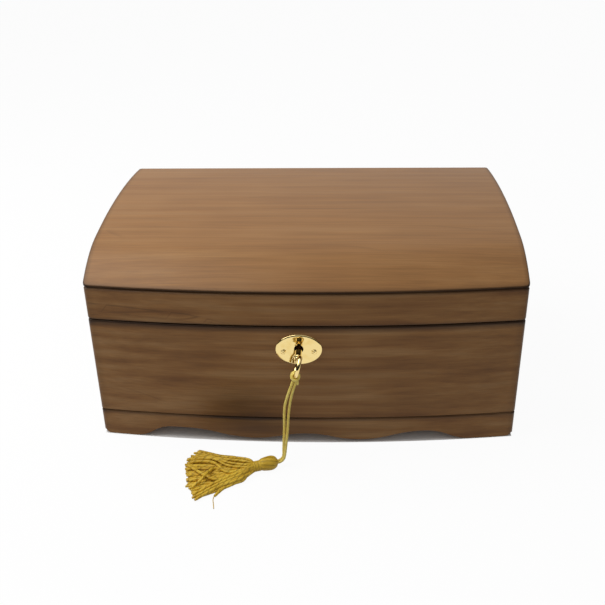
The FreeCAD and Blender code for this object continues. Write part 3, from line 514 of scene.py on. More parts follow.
def frontEdge(count):
    # from mitre to mitre: half a rounded corner, the bow, and half a corner
    bowRadius = (half ** 2 + box["bow"] ** 2) / (2 * box["bow"])
    bowY = bowRadius - box["bow"]
    r = box["frontRound"]
    cornerY = bowY - math.sqrt((bowRadius - r) ** 2 - (half - r) ** 2)
    bowAngle = math.degrees(math.atan2(cornerY - bowY, -(half - r))) + 360
    mitreAngle = 225 - math.degrees(math.asin((r - cornerY) / r / math.sqrt(2)))
    left = arc(r - half, cornerY, r, mitreAngle, bowAngle, 7)
    bow = arc(0, bowY, bowRadius, bowAngle, 540 - bowAngle, count)
    right = left[::-1] * (-1, 1)
    side = arc(r - half, cornerY, r, 180, mitreAngle, 7)
    return joined(left, bow, right), side


def boardPaths(count):
    # outer and inner line of each board, seen from above; the inner line is straight
    front, cornerSide = frontEdge(count)
    r = box["backRound"]
    backY = box["depth"] - r
    straight = np.linspace(cornerSide[0], (-half, backY), 41)
    left = joined(cornerSide[::-1], straight, arc(r - half, backY, r, 180, 135, 5))
    rear = np.linspace((r - half, box["depth"]), (half - r, box["depth"]), 41)
    back = joined(arc(r - half, backY, r, 135, 90, 5), rear, arc(half - r, backY, r, 90, 45, 5))
    shareX = lambda path: path[:, 0] * innerHalf / abs(path[0, 0])
    frontIn = np.stack([shareX(front), np.full(len(front), box["wall"])], -1)
    backIn = np.stack([shareX(back), np.full(len(back), innerBack)], -1)
    leftY = np.interp(left[:, 1], (left[0, 1], left[-1, 1]), (box["wall"], innerBack))
    leftIn = np.stack([np.full(len(left), -innerHalf), leftY], -1)
    flip = (-1, 1)
    return {"front": (front, frontIn), "left": (left, leftIn), "right": (left * flip, leftIn * flip),
            "back": (back, backIn)}


def rounded(r):
    # (inset, rise) points of a rounded arris, from the level face to the upright one
    angle = np.radians(np.linspace(0, 90, 7))
    return [(r * (1 - math.sin(a)), r * (1 - math.cos(a))) for a in angle]


def bevelled(c):
    # the same points for a plain bevel
    return [(c, 0.0), (0.0, c)]


def boardSurface(paths, low, high, lowArris, highArris, rows=9):
    # The board's section, closed, carried along its outer line: up the outer face, over the arris and
    # down the inside. low may differ along the board, as under scallops.
    outer, inner = paths
    guard = 0.4              # a row close to each arris keeps the flat faces flat
    section = [(inset, 0.0, rise, 0) for inset, rise in lowArris]
    section += [(0.0, 0.0, lowArris[-1][1] + guard, 0)]
    section += [(0.0, share, 0.0, 0) for share in np.linspace(0, 1, rows)[1:-1]]
    section += [(0.0, 1.0, -highArris[-1][1] - guard, 0)]
    section += [(inset, 1.0, -rise, 0) for inset, rise in reversed(highArris)]
    section += [(0.0, 1.0, 0.0, 1), (0.0, 0.0, 0.0, 1)]
    inset, share, rise, inside = np.array(section).T
    inward = inner - outer
    inward /= np.linalg.norm(inward, axis=1)[:, None]
    plan = outer[:, None] + inward[:, None] * inset[None, :, None]
    plan = np.where(inside[None, :, None] > 0, inner[:, None], plan)
    low = np.broadcast_to(np.asarray(low, float), len(outer))[:, None]
    z = low * (1 - share) + high * share + rise
    return np.concatenate([plan, z[..., None]], -1), False, True, True


grainShift = {            # where in the log each board was cut, in mm, so that no two have the same figure
    "caseFront": (0, 40, 0), "caseLeft": (300, 90, 55),
    "caseRight": (650, 20, 160), "caseBack": (980, 70, 210),
    "lidFront": (140, 20, 33), "lidLeft": (450, 130, 90),
    "lidRight": (800, 60, 130), "lidBack": (1180, 10, 170),
    "skirtFront": (210, 80, 350), "skirtLeft": (520, 45, 390),
    "skirtRight": (860, 95, 440), "skirtBack": (1240, 30, 480),
    "lidTop": (90, 500, 12),
}
darkPatches = [           # (x, z, reach along, reach up, strength) of darker heartwood on the front, mm
    (-54.0, 36.0, 32.0, 18.0, 0.46), (-40.0, 14.0, 46.0, 13.0, 0.34), (40.0, 70.0, 60.0, 10.0, 0.10),
    (-120.0, 98.0, 26.0, 5.0, 0.12), (88.0, 40.0, 38.0, 9.0, 0.12), (10.0, 52.0, 40.0, 8.0, 0.10),
    (150.0, 60.0, 16.0, 26.0, 0.10), (20.0, 12.0, 90.0, 9.0, 0.10),
]
growthLines = {           # (x, z) points and a strength, mm
    "lidFront": [([(-176, 128.4), (-140, 126.2), (-93, 122.4), (-76, 118.6), (-60, 115.0)], 0.34),
                 ([(-172, 121.6), (-130, 118.6), (-96, 116.2), (-70, 112.0)], 0.22)],
    "caseFront": [([(-158, 50.5), (-136, 44.0), (-112, 35.0)], 0.20),
                  ([(60, 104.0), (110, 101.0), (168, 100.5)], 0.14)],
}
figureOf = {"lidTop": 0.45, "Front": 1.3}        # how strong the figure is, by the end of a piece's name
lineFade = {"lead": 4, "length": 14, "far": 9.0}      # how a growth line dies away at its ends, mm
paintedCornerShade = {"reach": 3.2, "strength": 0.5}       # painted shade along the upright corners, where they turn away from the light
paintedSideShade = {"reach": 1.5, "strength": 0.7}      # painted shade along the ends of the lid's top
stainAndShadeSharpness = {"lidTop": 4}                       # how sharply a joint's stain and painted shade end, where it isn't a bell
mostStainAndShade = 0.9
stainAndShadeLines = [            # (height, reach, strength) of painted shade in a joint, with the stain that gathers there, mm
    (112.0, 2.4, 0.95), (23.8, 1.5, 0.65), (142.2, 2.1, 0.9),
]


def finishBoard(piece, alongY=False):
    # Grain coordinates, the strength of the figure, the nearest listed line, and a tone of stain and painted
    # shade:
    # heartwood on the front, painted shade on the upright corners, painted shade in the joints with the stain
    # that gathers there, and painted shade on the lid's side arrises. Each of these darkens as a bell of the
    # distance from its middle.
    co = pointsOf(piece)
    x, y, z = co.T
    share = next((value for name, value in figureOf.items() if piece.name.endswith(name)), 1.0)
    storeAttribute(piece, "figureShare", "FLOAT", np.full(len(co), share))
    nearest, strong = np.full(len(co), lineFade["far"]), np.zeros(len(co))
    for points, strength in growthLines.get(piece.name, ()):
        lineX, lineZ = np.array(points, float).T
        away = z - np.interp(x, lineX, lineZ)
        fromEnd = np.minimum(x - lineX[0] + lineFade["lead"], lineX[-1] - x)
        ends = np.clip(fromEnd / lineFade["length"], 0, 1)
        closer = np.abs(away) < np.abs(nearest)
        nearest = np.where(closer, away, nearest)
        strong = np.where(closer, strength * ends, strong)
    storeAttribute(piece, "growthLine", "FLOAT_VECTOR", np.stack([nearest, strong, 0 * strong], -1))
    grain = np.stack([y, -x, z] if alongY else [x, y, z], -1) + grainShift[piece.name]
    storeAttribute(piece, "grainMm", "FLOAT_VECTOR", grain)
    tone = np.zeros(len(co))
    if piece.name.endswith("Front"):
        for px, pz, reachX, reachZ, strength in darkPatches:
            tone += strength * np.exp(-((x - px) / reachX) ** 2 - ((z - pz) / reachZ) ** 2)
    toSide = half - np.abs(x)
    toEnd = np.minimum(np.abs(y + 1.0), np.abs(box["depth"] - y))
    nearCorner = np.hypot(toSide, np.minimum(toEnd, 50.0))
    # painted shade on the upright corners, where they turn away from the light
    tone += paintedCornerShade["strength"] * np.exp(-(nearCorner / paintedCornerShade["reach"]) ** 2)
    # painted shade in the seam, the groove and under the lid top's arris, with the stain that gathers in these
    # joints
    for height, reach, strength in stainAndShadeLines:
        tone += strength * np.exp(-((z - height) / reach) ** stainAndShadeSharpness.get(piece.name, 2))
    # painted shade on the lid top's side arrises
    if piece.name == "lidTop":
        below = lidHeight(co[:, :2]) - z
        tone += paintedSideShade["strength"] * np.exp(-(toSide ** 2 + below ** 2) / paintedSideShade["reach"] ** 2)
    # stain and painted shade together, stored as one tone
    storeAttribute(piece, "stainTone", "FLOAT", np.clip(tone, 0, mostStainAndShade))


footRound = {"lift": 3.4, "reach": 3.2}


def footLift(path):
    # the feet's lowest corners are rounded: a small lift, a bell of the distance from the corner
    away = np.hypot(half - np.abs(path[:, 0]), np.minimum(np.abs(path[:, 1]), 30.0))
    return footRound["lift"] * np.exp(-(away / footRound["reach"]) ** 2)


def scallops(x):
    # height of the skirt's lower edge along the front
    stations = [(-147.0, 0.0), (-114.0, 11.2), (-104.0, 11.2), (-43.0, 3.2), (0.0, 8.5), (45.0, 2.4),
                (99.0, 10.0), (140.0, 0.0)]
    return levelRuns(stations, x)


def levelRuns(stations, x):
    # between two stations the edge is an S of two equal arcs, level at both ends
    z = np.zeros(len(x))
    for (x0, z0), (x1, z1) in zip(stations, stations[1:]):
        run, rise = x1 - x0, z1 - z0
        near, far = x - x0, x1 - x
        if rise:
            radius = (run ** 2 + rise ** 2) / (4 * abs(rise))
            bend = lambda d: radius - np.sqrt(np.maximum(radius ** 2 - d ** 2, 0))
            climb = np.sign(rise)
            curve = np.where(near < run / 2, z0 + climb * bend(near), z1 - climb * bend(far))
        else:
            curve = np.full(len(x), z0)
        z = np.where((near >= 0) & (far > 0), curve, z)
    return z


def sideArch(y):
    # the same edge along the sides: one low arch
    stations = [(26.0, 0.0), (56.0, 10.0), (box["depth"] - 56.0, 10.0), (box["depth"] - 26.0, 0.0)]
    return levelRuns(stations, y)


def keyholeOutline(radius, slot, lift, low, count=120):
    # (x, z) about the key's axis: a round hole, lifted a little, and a slot straight down from it
    angle = np.linspace(0, 2 * np.pi, count, endpoint=False) - np.pi / 2
    circle = lift * np.sin(angle) + np.sqrt(radius ** 2 - (lift * np.cos(angle)) ** 2)
    aside = np.maximum(np.abs(np.cos(angle)), 1e-6)
    down = np.maximum(-np.sin(angle), 1e-6)
    straight = np.where(np.sin(angle) < 0, np.minimum(low / down, slot / 2 / aside), 0)
    reach = np.maximum(circle, straight)
    return np.stack([reach * np.cos(angle), reach * np.sin(angle)], -1)


def makeBoards():
    # skirt, case and lid rim, each from four boards that share one outline
    finePaths, paths = boardPaths(241), boardPaths(73)
    arches = {"front": lambda path: scallops(path[:, 0]), "left": lambda path: sideArch(path[:, 1]),
              "right": lambda path: sideArch(path[:, 1]), "back": lambda path: np.zeros(len(path))}
    made = {}
    for side in ("front", "left", "right", "back"):
        name = side.capitalize()
        outer = finePaths[side][0]
        lift = footLift(outer) if side != "back" else 0.0
        skirt = boardSurface(finePaths[side], arches[side](outer) + lift, box["skirtTop"],
                             rounded(box["easing"]), bevelled(box["groove"]), 7)
        case = boardSurface(paths[side], box["skirtTop"], box["rim"], bevelled(box["groove"]),
                            rounded(box["seamRound"]), 15)
        lid = boardSurface(paths[side], box["lidBottom"], box["lidRimTop"], rounded(box["seamRound"]),
                           bevelled(box["rimBevel"]), 9)
        for group, surface in (("skirt", skirt), ("case", case), ("lid", lid)):
            made[group + name] = (makePiece(group + name, [surface], woodFinish), group, side)
    return made


def rectangle(x0, x1, z0, z1):
    return [(x0, z0), (x1, z0), (x1, z1), (x0, z1)]


plate = {"width": 37.3, "height": 27.5, "thickness": 1.2, "drop": 0.2, "turned": 1.7, "dish": 0.25,
         "holeRadius": 3.8, "holeSlot": 2.8, "holeLift": 0.8, "holeLow": 6.8}
fittings = {              # what is let into the boards, as in the solids
    "caseDepth": 8.4, "pocketHalf": 23.0, "flangeReach": 29.0, "pocketBottom": 82.6, "selvedge": 1.5,
    "keyholeRadius": 4.1, "keyholeSlot": 3.4, "keyholeLow": 6.8, "linkHalf": 27.0, "linkThickness": 1.4,
    "hingeX": 115.0, "hingeHalf": 16.0, "hingeReach": 8.0, "hingeZ": 112.75, "leafGap": 0.05, "leaf": 1.5,
}


def carveBoards(boards):
    # the lock's pocket and keyhole, the link plate's bed and the hinges' mortises
    f, x, over = fittings, lock["x"], 3.0
    rim = box["rim"]
    inset = box["wall"] - f["caseDepth"]
    pocket = [(x - f["flangeReach"], rim + over), (x - f["flangeReach"], rim - f["selvedge"]),
              (x - f["pocketHalf"], rim - f["selvedge"]), (x - f["pocketHalf"], f["pocketBottom"]),
              (x + f["pocketHalf"], f["pocketBottom"]), (x + f["pocketHalf"], rim - f["selvedge"]),
              (x + f["flangeReach"], rim - f["selvedge"]), (x + f["flangeReach"], rim + over)]
    carve(boards["caseFront"][0], pocket, inset, box["wall"] + over)
    hole = keyholeOutline(f["keyholeRadius"], f["keyholeSlot"], plate["holeLift"], f["keyholeLow"], 48)
    carve(boards["caseFront"][0], hole + (x, lock["z"]), -box["bow"] - over, inset + over)
    bed = rectangle(x - f["linkHalf"], x + f["linkHalf"], box["lidBottom"] - over,
                    box["lidBottom"] + f["linkThickness"])
    carve(boards["lidFront"][0], bed, inset, box["wall"] + over)
    for side in (-1, 1):
        x0, x1 = side * f["hingeX"] - f["hingeHalf"], side * f["hingeX"] + f["hingeHalf"]
        y0, y1 = box["depth"] - f["hingeReach"], box["depth"] + over
        top, low = f["hingeZ"] + f["leafGap"] + f["leaf"], f["hingeZ"] - f["leafGap"] - f["leaf"]
        carve(boards["caseBack"][0], rectangle(x0, x1, low, rim + over), y0, y1)
        carve(boards["lidBack"][0], rectangle(x0, x1, box["lidBottom"] - over, top), y0, y1)


boards = makeBoards()
carveBoards(boards)
for name, (piece, group, side) in boards.items():
    finishBoard(piece, alongY=side in ("left", "right"))
    placePiece(piece, "lid" if group == "lid" else "case", "stained_hardwood", group + "_" + side)
print("boards made")


# Lid top: a shallow dome over the same outline, with a rounder fall to the front that follows the bow

lidTop = {
    "backEdge": 9.5, "crownRise": 11.55, "crownY": 103.7,
    "shoulder": 113.0, "frontEdge": 1.1, "blend": 1.2,
    "undercut": 1.2, "noseHeight": 0.3, "round": 0.8,
    "rings": 30, "endRows": (0.08, 0.2, 0.5, 0.8, 0.92),
}


def lidHeight(plan):
    # The lower of two surfaces, eased into each other. The dome is a circle in y through the back edge and the
    # crown. The fall is a smaller circle in the distance behind the bow's line: it passes through the front
    # edge, touches the dome from inside, and runs on straight behind that.
    t, base = lidTop, box["lidRimTop"]
    radius = ((box["depth"] - t["crownY"]) ** 2 + t["crownRise"] ** 2) / (2 * t["crownRise"])
    axis = base + t["backEdge"] + t["crownRise"] - radius
    dome = axis + np.sqrt(radius ** 2 - (plan[..., 1] - t["crownY"]) ** 2)
    rise, reach = base + t["frontEdge"] - axis, radius - t["shoulder"]
    away = math.hypot(t["crownY"], rise)
    turn = math.acos((away ** 2 + reach ** 2 - t["shoulder"] ** 2) / (2 * away * reach))
    lean = math.atan2(t["crownY"], rise) - turn
    middle = t["crownY"] - reach * math.sin(lean)
    touch = middle - t["shoulder"] * math.sin(lean)
    bowRadius = (half ** 2 + box["bow"] ** 2) / (2 * box["bow"])
    behind = bowRadius - np.hypot(plan[..., 0], plan[..., 1] - bowRadius + box["bow"])
    along = np.minimum(behind, touch) - middle
    fall = axis + reach * math.cos(lean) + np.sqrt(t["shoulder"] ** 2 - along ** 2)
    fall = fall + np.maximum(behind - touch, 0) * math.tan(lean)
    ease = np.clip(0.5 + (fall - dome) / (2 * t["blend"]), 0, 1)
    return fall + (dome - fall) * ease - t["blend"] * ease * (1 - ease)


def wholeOutline():
    # the four boards' outer lines, end to end and anticlockwise
    paths = boardPaths(121)
    front, left, right, back = (paths[side][0] for side in ("front", "left", "right", "back"))
    return joined(front, right, back[::-1], left[::-1])[:-1]


def makeLidTop():
    # rings from the middle of the underside out to the edge, up, over the arris and in to the crown
    line = wholeOutline()
    tangent = np.roll(line, -1, axis=0) - np.roll(line, 1, axis=0)
    outward = np.stack([tangent[:, 1], -tangent[:, 0]], -1)
    outward /= np.linalg.norm(outward, axis=1)[:, None]
    middle = np.array([0.0, box["depth"] / 2])
    base, r = box["lidRimTop"], lidTop["round"]

    def ring(inset, z):
        # the outline drawn in by inset, at height z
        return np.concatenate([line - outward * inset, np.broadcast_to(z, len(line))[:, None]], -1)

    rings = [np.broadcast_to((*middle, base), (len(line), 3))]
    for a in np.radians(np.linspace(0, 90, 9)):
        inset = lidTop["undercut"] * (1 - math.sin(a))
        rings.append(ring(inset, base + lidTop["noseHeight"] * (1 - math.cos(a))))
    low, high = base + lidTop["noseHeight"], lidHeight(line) - r
    rings += [ring(0.0, low + (high - low) * share) for share in lidTop["endRows"]]
    for a in np.radians(np.linspace(0, 90, 9)):
        inset = r * (1 - math.cos(a))
        rings.append(ring(inset, lidHeight(line - outward * inset) - r * (1 - math.sin(a))))
    rim = line - outward * r
    for share in np.concatenate([[0.997], np.linspace(0.98, 0.0, lidTop["rings"])]):
        plan = middle + (rim - middle) * share
        rings.append(np.concatenate([plan, lidHeight(plan)[:, None]], -1))
    piece = makePiece("lidTop", [(np.stack(rings, 1), True, False, False)], woodFinish)
    finishBoard(piece)
    return placePiece(piece, "lid", "stained_hardwood", "lid_top")


makeLidTop()
print("lid top made")


# Lining panels: thin card covered in flock, with soft edges

lining = {"soft": 0.8, "edgeShare": 0.02}       # mm that an edge is drawn in, share that has finer rows


def makeLining(node, body):
    # a superellipse box: rounded edges all round, from the node's own place and size
    low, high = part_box(node)
    low = np.array(low) / mm + (0, originY, 0)
    high = np.array(high) / mm + (0, originY, 0)
    centre, size = (low + high) / 2, (high - low) / 2
    thin = int(np.argmin(size))
    a, b = [axis for axis in range(3) if axis != thin]
    fine = lining["edgeShare"]
    near = np.linspace(0, 1, 5)[:-1] ** 2 * fine
    edge = np.concatenate([near, np.linspace(fine, 1 - fine, 13), 1 - near[::-1]])
    u, v = np.meshgrid(edge * 2 - 1, edge * 2 - 1, indexing="ij")
    rimU = np.clip((1 - np.abs(u)) * size[a] / lining["soft"], 0, 1)
    rimV = np.clip((1 - np.abs(v)) * size[b] / lining["soft"], 0, 1)
    lift = np.sqrt(1 - (1 - rimU) ** 2) * np.sqrt(1 - (1 - rimV) ** 2)
    sheets = []
    for face in (-1, 1):
        grid = np.zeros(u.shape + (3,))
        grid[..., a], grid[..., b] = centre[a] + u * size[a], centre[b] + v * size[b]
        grid[..., thin] = centre[thin] + face * size[thin] * lift
        sheets.append((grid, False, False, False))
    parts = node.split("_")
    piece = makePiece(parts[0] + "".join(word.capitalize() for word in parts[1:]), sheets, feltFinish, 60.0)
    return placePiece(piece, body, "felt_lining", node)


frontLining = {"gapHalf": 30.0, "gapLow": 79.9, "soft": 0.7}


def makeFrontLining():
    # One panel with a gap for the lock. Its outline is drawn in by a quarter circle at each face:
    # a corner moves along its mitre, the sum of its two edges' normals.
    low, high = (np.array(corner) / mm + (0, originY, 0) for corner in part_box("lining_front"))
    gap = frontLining["gapHalf"]
    x0, x1, gapLow = lock["x"] - gap, lock["x"] + gap, frontLining["gapLow"]
    corners = np.array([(low[0], low[2]), (high[0], low[2]), (high[0], high[2]), (x1, high[2]),
                        (x1, gapLow), (x0, gapLow), (x0, high[2]), (low[0], high[2])])
    along = np.roll(corners, -1, axis=0) - corners
    along /= np.linalg.norm(along, axis=1)[:, None]
    outward = np.stack([along[:, 1], -along[:, 0]], -1)
    mitre = outward + np.roll(outward, 1, axis=0)
    soft = frontLining["soft"]
    quarter = np.radians(np.linspace(0, 90, 6))
    section = [(soft * (1 - math.sin(a)), low[1] + soft * (1 - math.cos(a))) for a in quarter]
    section += [(soft * (1 - math.sin(a)), high[1] - soft * (1 - math.cos(a))) for a in quarter[::-1]]
    rings = [np.insert(corners - mitre * inset, 1, y, axis=1) for inset, y in section]
    piece = makePiece("liningFront", [(np.stack(rings), False, True, True)], feltFinish, 60.0)
    return placePiece(piece, "case", "felt_lining", "lining_front")


for node in ("lining_floor", "lining_back", "lining_left", "lining_right"):
    makeLining(node, "case")
makeLining("lid_lining", "lid")
makeFrontLining()
print("linings made")


# Lock plate: stamped oval brass with a keyhole and a softly turned edge

def makePlate():
    # Rays from the keyhole's edge to the oval's: the face is dished as a cosine of the share along a ray,
    # and its rim rolls over to the back by a quarter turn
    hole = keyholeOutline(plate["holeRadius"], plate["holeSlot"], plate["holeLift"], plate["holeLow"], 180)
    angle = np.arctan2(hole[:, 1], hole[:, 0])
    a, b = plate["width"] / 2, plate["height"] / 2
    oval = np.stack([a * np.cos(angle), b * np.sin(angle) - plate["drop"]], -1)
    back, front = -box["bow"], -box["bow"] - plate["thickness"]
    reach = np.linalg.norm(oval - hole, axis=1)[:, None]
    rolled = plate["turned"] / reach

    def placed(plan, y):
        return np.stack([plan[:, 0] + lock["x"], np.full(len(plan), y), plan[:, 1] + lock["z"]], -1)

    steps = [(share, None) for share in np.linspace(0, 1, 14)]
    steps += [(1.0, turn) for turn in np.linspace(0, 90, 7)[1:]]
    rows = []
    for share, turn in steps:
        if turn is None:
            t = share * (1 - rolled)
            depth = front + plate["dish"] * (1 - np.cos(2 * np.pi * share)) / 2
        else:
            t = 1 - rolled * (1 - math.sin(math.radians(turn)))
            depth = front + (plate["thickness"] - 0.1) * (1 - math.cos(math.radians(turn)))
        rows.append(placed(hole + (oval - hole) * t, depth))
    rows += [placed(oval, back), placed(hole, back)]
    piece = makePiece("escutcheon", [(np.stack(rows, 1), True, True, False)], polishedBrass)
    return placePiece(piece, "case", "polished_brass", "escutcheon")


def turned(profile, centre, around=40):
    # a profile of (y, radius) points turned about an axis along y, through centre (x, z)
    angle = np.linspace(0, 2 * np.pi, around, endpoint=False)[:, None]
    y, r = np.array(profile, float).T
    x, z = centre[0] + r * np.cos(angle), centre[1] + r * np.sin(angle)
    return np.stack(np.broadcast_arrays(x, y, z), -1)


pin = {"x": 12.3, "drop": 1.9, "head": 2.2, "rise": 1.0, "dimple": 0.6, "dimpleDepth": 0.5,
       "lip": 0.15, "shank": 0.8, "length": 9.0}


def makePins():
    # round-headed pins, turned about y: a dimple, a low dome round it, a small lip and the shank behind
    face, rise, head, dimple = lock["plateFace"], pin["rise"], pin["head"], pin["dimple"]
    crown = face - rise
    profile = [(crown + pin["dimpleDepth"], 0.0), (crown + pin["dimpleDepth"] * 0.7, dimple * 0.6)]
    for a in np.radians(np.linspace(0, 90, 9)):
        profile.append((face - rise * math.cos(a), dimple + (head - dimple) * math.sin(a)))
    profile += [(face + pin["lip"], head), (face + pin["lip"], pin["shank"]),
                (face + pin["length"] - 1.0, pin["shank"]), (face + pin["length"], 0.0)]
    heads = []
    for side in (-1, 1):
        centre = (lock["x"] + side * pin["x"], lock["z"] - pin["drop"])
        heads.append((turned(profile, centre, 32), True, False, False))
    piece = makePiece("escutcheonPins", heads, polishedBrass)
    return placePiece(piece, "case", "polished_brass", "escutcheon_pins")


makePlate()
makePins()


# Key: ring, collar, bored barrel and bit

key = {
    "tip": 9.5, "barrel": 2.7, "bore": 1.25, "boreEnd": -2.0, "soft": 0.35,
    "collar": 3.5, "collarFront": -25.45, "collarLength": 2.0,
    "neck": ((0.5, 2.25), (1.3, 1.8)),        # (distance in front of the collar, radius)
    "ringY": -36.6, "ringRadius": 7.85, "wire": 1.65, "twist": 14.0,
    "bitReach": 6.0, "bitThickness": 1.8, "bitLength": 5.0, "bitGap": 0.4, "bitCorner": 0.3, "ward": 1.2,
}


def leaned(points):
    # turns points about the key's own axis, by which the ring leans
    turn = math.radians(key["twist"])
    dx, dz = points[..., 0] - lock["x"], points[..., 2] - lock["z"]
    return np.stack([lock["x"] + dx * math.cos(turn) + dz * math.sin(turn), points[..., 1],
                     lock["z"] - dx * math.sin(turn) + dz * math.cos(turn)], -1)


def makeKey():
    # The shaft is turned about y: the bore, the barrel, a collar that swells as half a circle, and the neck.
    # The ring is a torus, and the bit a flat outline with a ward cut in it, given its thickness in x.
    k = key
    tip, front, soft = k["tip"], k["collarFront"], k["soft"]
    ringBack = k["ringY"] + k["ringRadius"]
    profile = [(k["boreEnd"], 0.0), (k["boreEnd"], k["bore"]), (tip, k["bore"]), (tip, k["barrel"] - soft),
               (tip - soft, k["barrel"]), (tip - 1, k["barrel"]),
               (front + k["collarLength"] + 0.5, k["barrel"])]
    for a in np.radians(np.linspace(0, 180, 11)):
        swell = (k["collar"] - k["barrel"]) * math.sin(a)
        profile.append((front + k["collarLength"] * (1 + math.cos(a)) / 2, k["barrel"] + swell))
    profile += [(front - ahead, radius) for ahead, radius in k["neck"]]
    profile += [(ringBack + 1.0, k["wire"]), (ringBack, k["wire"] * 0.9), (ringBack, 0.0)]
    shaft = turned(profile, (lock["x"], lock["z"]), 48)
    u = np.linspace(0, 2 * np.pi, 96, endpoint=False)[:, None]
    v = np.linspace(0, 2 * np.pi, 28, endpoint=False)[None, :]
    reach = k["ringRadius"] + k["wire"] * np.cos(v)
    x, y, z = lock["x"] + k["wire"] * np.sin(v), k["ringY"] + reach * np.cos(u), lock["z"] + reach * np.sin(u)
    ring = leaned(np.stack(np.broadcast_arrays(x, y, z), -1))
    y1 = tip - k["bitGap"]
    y0 = y1 - k["bitLength"]
    low, top, corner = -k["bitReach"], -k["barrel"] / 2, k["bitCorner"]
    ward0, ward1 = (y0 + y1) / 2 - k["ward"] / 2, (y0 + y1) / 2 + k["ward"] / 2
    outline = np.array([(y0, top), (y0, low + corner), (y0 + corner, low), (ward0, low),
                        (ward0, low + k["ward"]), (ward1, low + k["ward"]), (ward1, low),
                        (y1 - corner, low), (y1, low + corner), (y1, top)])
    sides = []
    for s in (-1, 1):
        x = np.full(len(outline), lock["x"] + s * k["bitThickness"] / 2)
        sides.append(np.stack([x, outline[:, 0], lock["z"] + outline[:, 1]], -1))
    surfaces = [(shaft, True, False, False), (ring, True, True, False),
                (np.stack(sides), False, True, True)]
    piece = makePiece("brassKey", surfaces, polishedBrass)
    return placePiece(piece, "key", "polished_brass", "key")


makeKey()
print("lock plate and key made")


# Hitch: the doubled cord looped through the ring, drawn tight, with a short tail

hitch = {
    "wraps": (50.0, 64.0, 78.0, 92.0),           # places round the ring, in degrees from its front
    "wrapReach": (0.98, 1.08, 1.12, 1.0), "wrapThickness": (0.96, 1.04, 1.06, 0.95), "wrapTurn": 7,
    "collarPlace": (-6.6, -38.4, 82.6), "collarRadius": 2.0, "collarSlope": 0.32, "collarThickness": 1.05,
    "tailStart": (1.5, -1.7, 0.2), "tail": (0.1, -0.3, -4.4), "tailSway": (0.4, 0, 0),
}


def circleAbout(centre, first, second, reach, start, end, count):
    # an arc in the plane of two unit directions
    angle = np.radians(np.linspace(start, end, count))[:, None]
    return np.array(centre) + reach * (np.cos(angle) * np.array(first) + np.sin(angle) * np.array(second))


def makeHitch():
    # Each wrap is a circle round the ring's wire, a little turned from the last. The collar is a small
    # sloping circle where the strands leave, and the tail a short sine curve that falls from it.
    radius = cord["diameter"] / 2
    axis = (lock["x"], 0, lock["z"])

    def yarn(path, thick, up):
        return tubeSurface(path, thick, cord["plies"], cord["pitch"], cord["lobe"], cord["around"], up)

    yarns = []
    for i, place in enumerate(np.radians(hitch["wraps"])):
        out = np.array([0.0, -math.cos(place), -math.sin(place)])
        along = np.array([0.0, -math.sin(place), math.cos(place)])
        centre = (lock["x"], key["ringY"], lock["z"]) + key["ringRadius"] * out
        reach = key["wire"] + radius * hitch["wrapReach"][i]
        turn = hitch["wrapTurn"] * i
        path = leaned(circleAbout(centre, (1.0, 0.0, 0.0), out, reach, turn - 150, turn + 210, 41))
        yarns.append(yarn(path, radius * hitch["wrapThickness"][i], tuple(leaned(along + axis) - axis)))
    slope = np.array([math.cos(hitch["collarSlope"]), 0.0, math.sin(hitch["collarSlope"])])
    path = circleAbout(hitch["collarPlace"], slope, (0.0, -1.0, 0.0), hitch["collarRadius"], 0, 360, 41)
    yarns.append(yarn(path, radius * hitch["collarThickness"], (0.0, 0.0, 1.0)))
    fall = np.linspace(0, 1, 12)[:, None]
    start = np.array(hitch["collarPlace"]) + hitch["tailStart"]
    tail = start + fall * hitch["tail"] + np.sin(fall * 2.4) * hitch["tailSway"]
    thick = radius * (0.70 + 0.2 * np.sin(np.linspace(0, np.pi, 12)))
    yarns.append(yarn(tail, thick, (0.0, 1.0, 0.0)))
    piece = makeYarns("cordHitch", yarns, cordFinish)
    return placePiece(piece, "key", "gold_cord", "cord_hitch")


hitchPiece = makeHitch()
print("hitch made")


# Tassel: a head of folded threads, a wound neck, and spread threads

tassel = {
    "tip": (-23.6, -43.9, 4.85), "turn": 19.3,
    "headStart": -1.6, "headEnd": 13.2, "headRadius": 5.9, "headLift": 0.5,
    "ridges": 20, "ridgeDepth": 0.16, "ridgeTurn": 0.10, "uneven": 0.10,
    "neckRadius": 4.4, "neckLength": 5.9, "windPitch": 1.3, "windDepth": 0.25,
    "rootRadius": 3.0, "rootDepth": 1.5, "threadRadius": 1.2, "threadPitch": 7.0,
    "strayRadius": 0.38, "strayPitch": 2.2,
    "layers": ((26, 1.3), (17, 3.1)), "seed": 7,      # (threads, height) of the layers below the top ones
}
headShape = [             # (share of the head's length from its tip, share of the fullest radius)
    (0.0, 0.22), (0.04, 0.48), (0.10, 0.70), (0.20, 0.88), (0.34, 0.985), (0.48, 1.0), (0.64, 0.965),
    (0.80, 0.90), (0.92, 0.83), (1.0, 0.70),
]
fanEnds = [               # where the lower threads end on the floor, from back to front
    (-89.0, -27.0), (-97.4, -37.0), (-97.8, -43.2), (-97.0, -50.7), (-95.4, -58.1), (-94.0, -65.3),
    (-93.2, -70.3), (-90.8, -74.0), (-86.5, -81.6), (-83.8, -85.6),
]
turnAngle = math.radians(tassel["turn"])
tasselAhead = np.array([-math.cos(turnAngle), -math.sin(turnAngle), 0.0])
tasselBack = np.array([-math.sin(turnAngle), math.cos(turnAngle), 0.0])
tasselUp = np.array([0.0, 0.0, 1.0])
tasselTip = np.array(tassel["tip"])
neckEnd = tasselTip + tasselAhead * (tassel["headEnd"] + tassel["neckLength"])


def aboutAxis(along, radius, angle):
    # points round the tassel's axis: along from the head's tip, radius and angle may be grids
    return (tasselTip + along[..., None] * tasselAhead + (radius * np.cos(angle))[..., None] * tasselBack
            + (radius * np.sin(angle))[..., None] * tasselUp)


def layOf(points, along, angle, phase):
    # the lay attribute, as for a yarn
    return np.stack([np.broadcast_to(v, points.shape[:2]) for v in (along, angle / (2 * np.pi), phase)], -1)


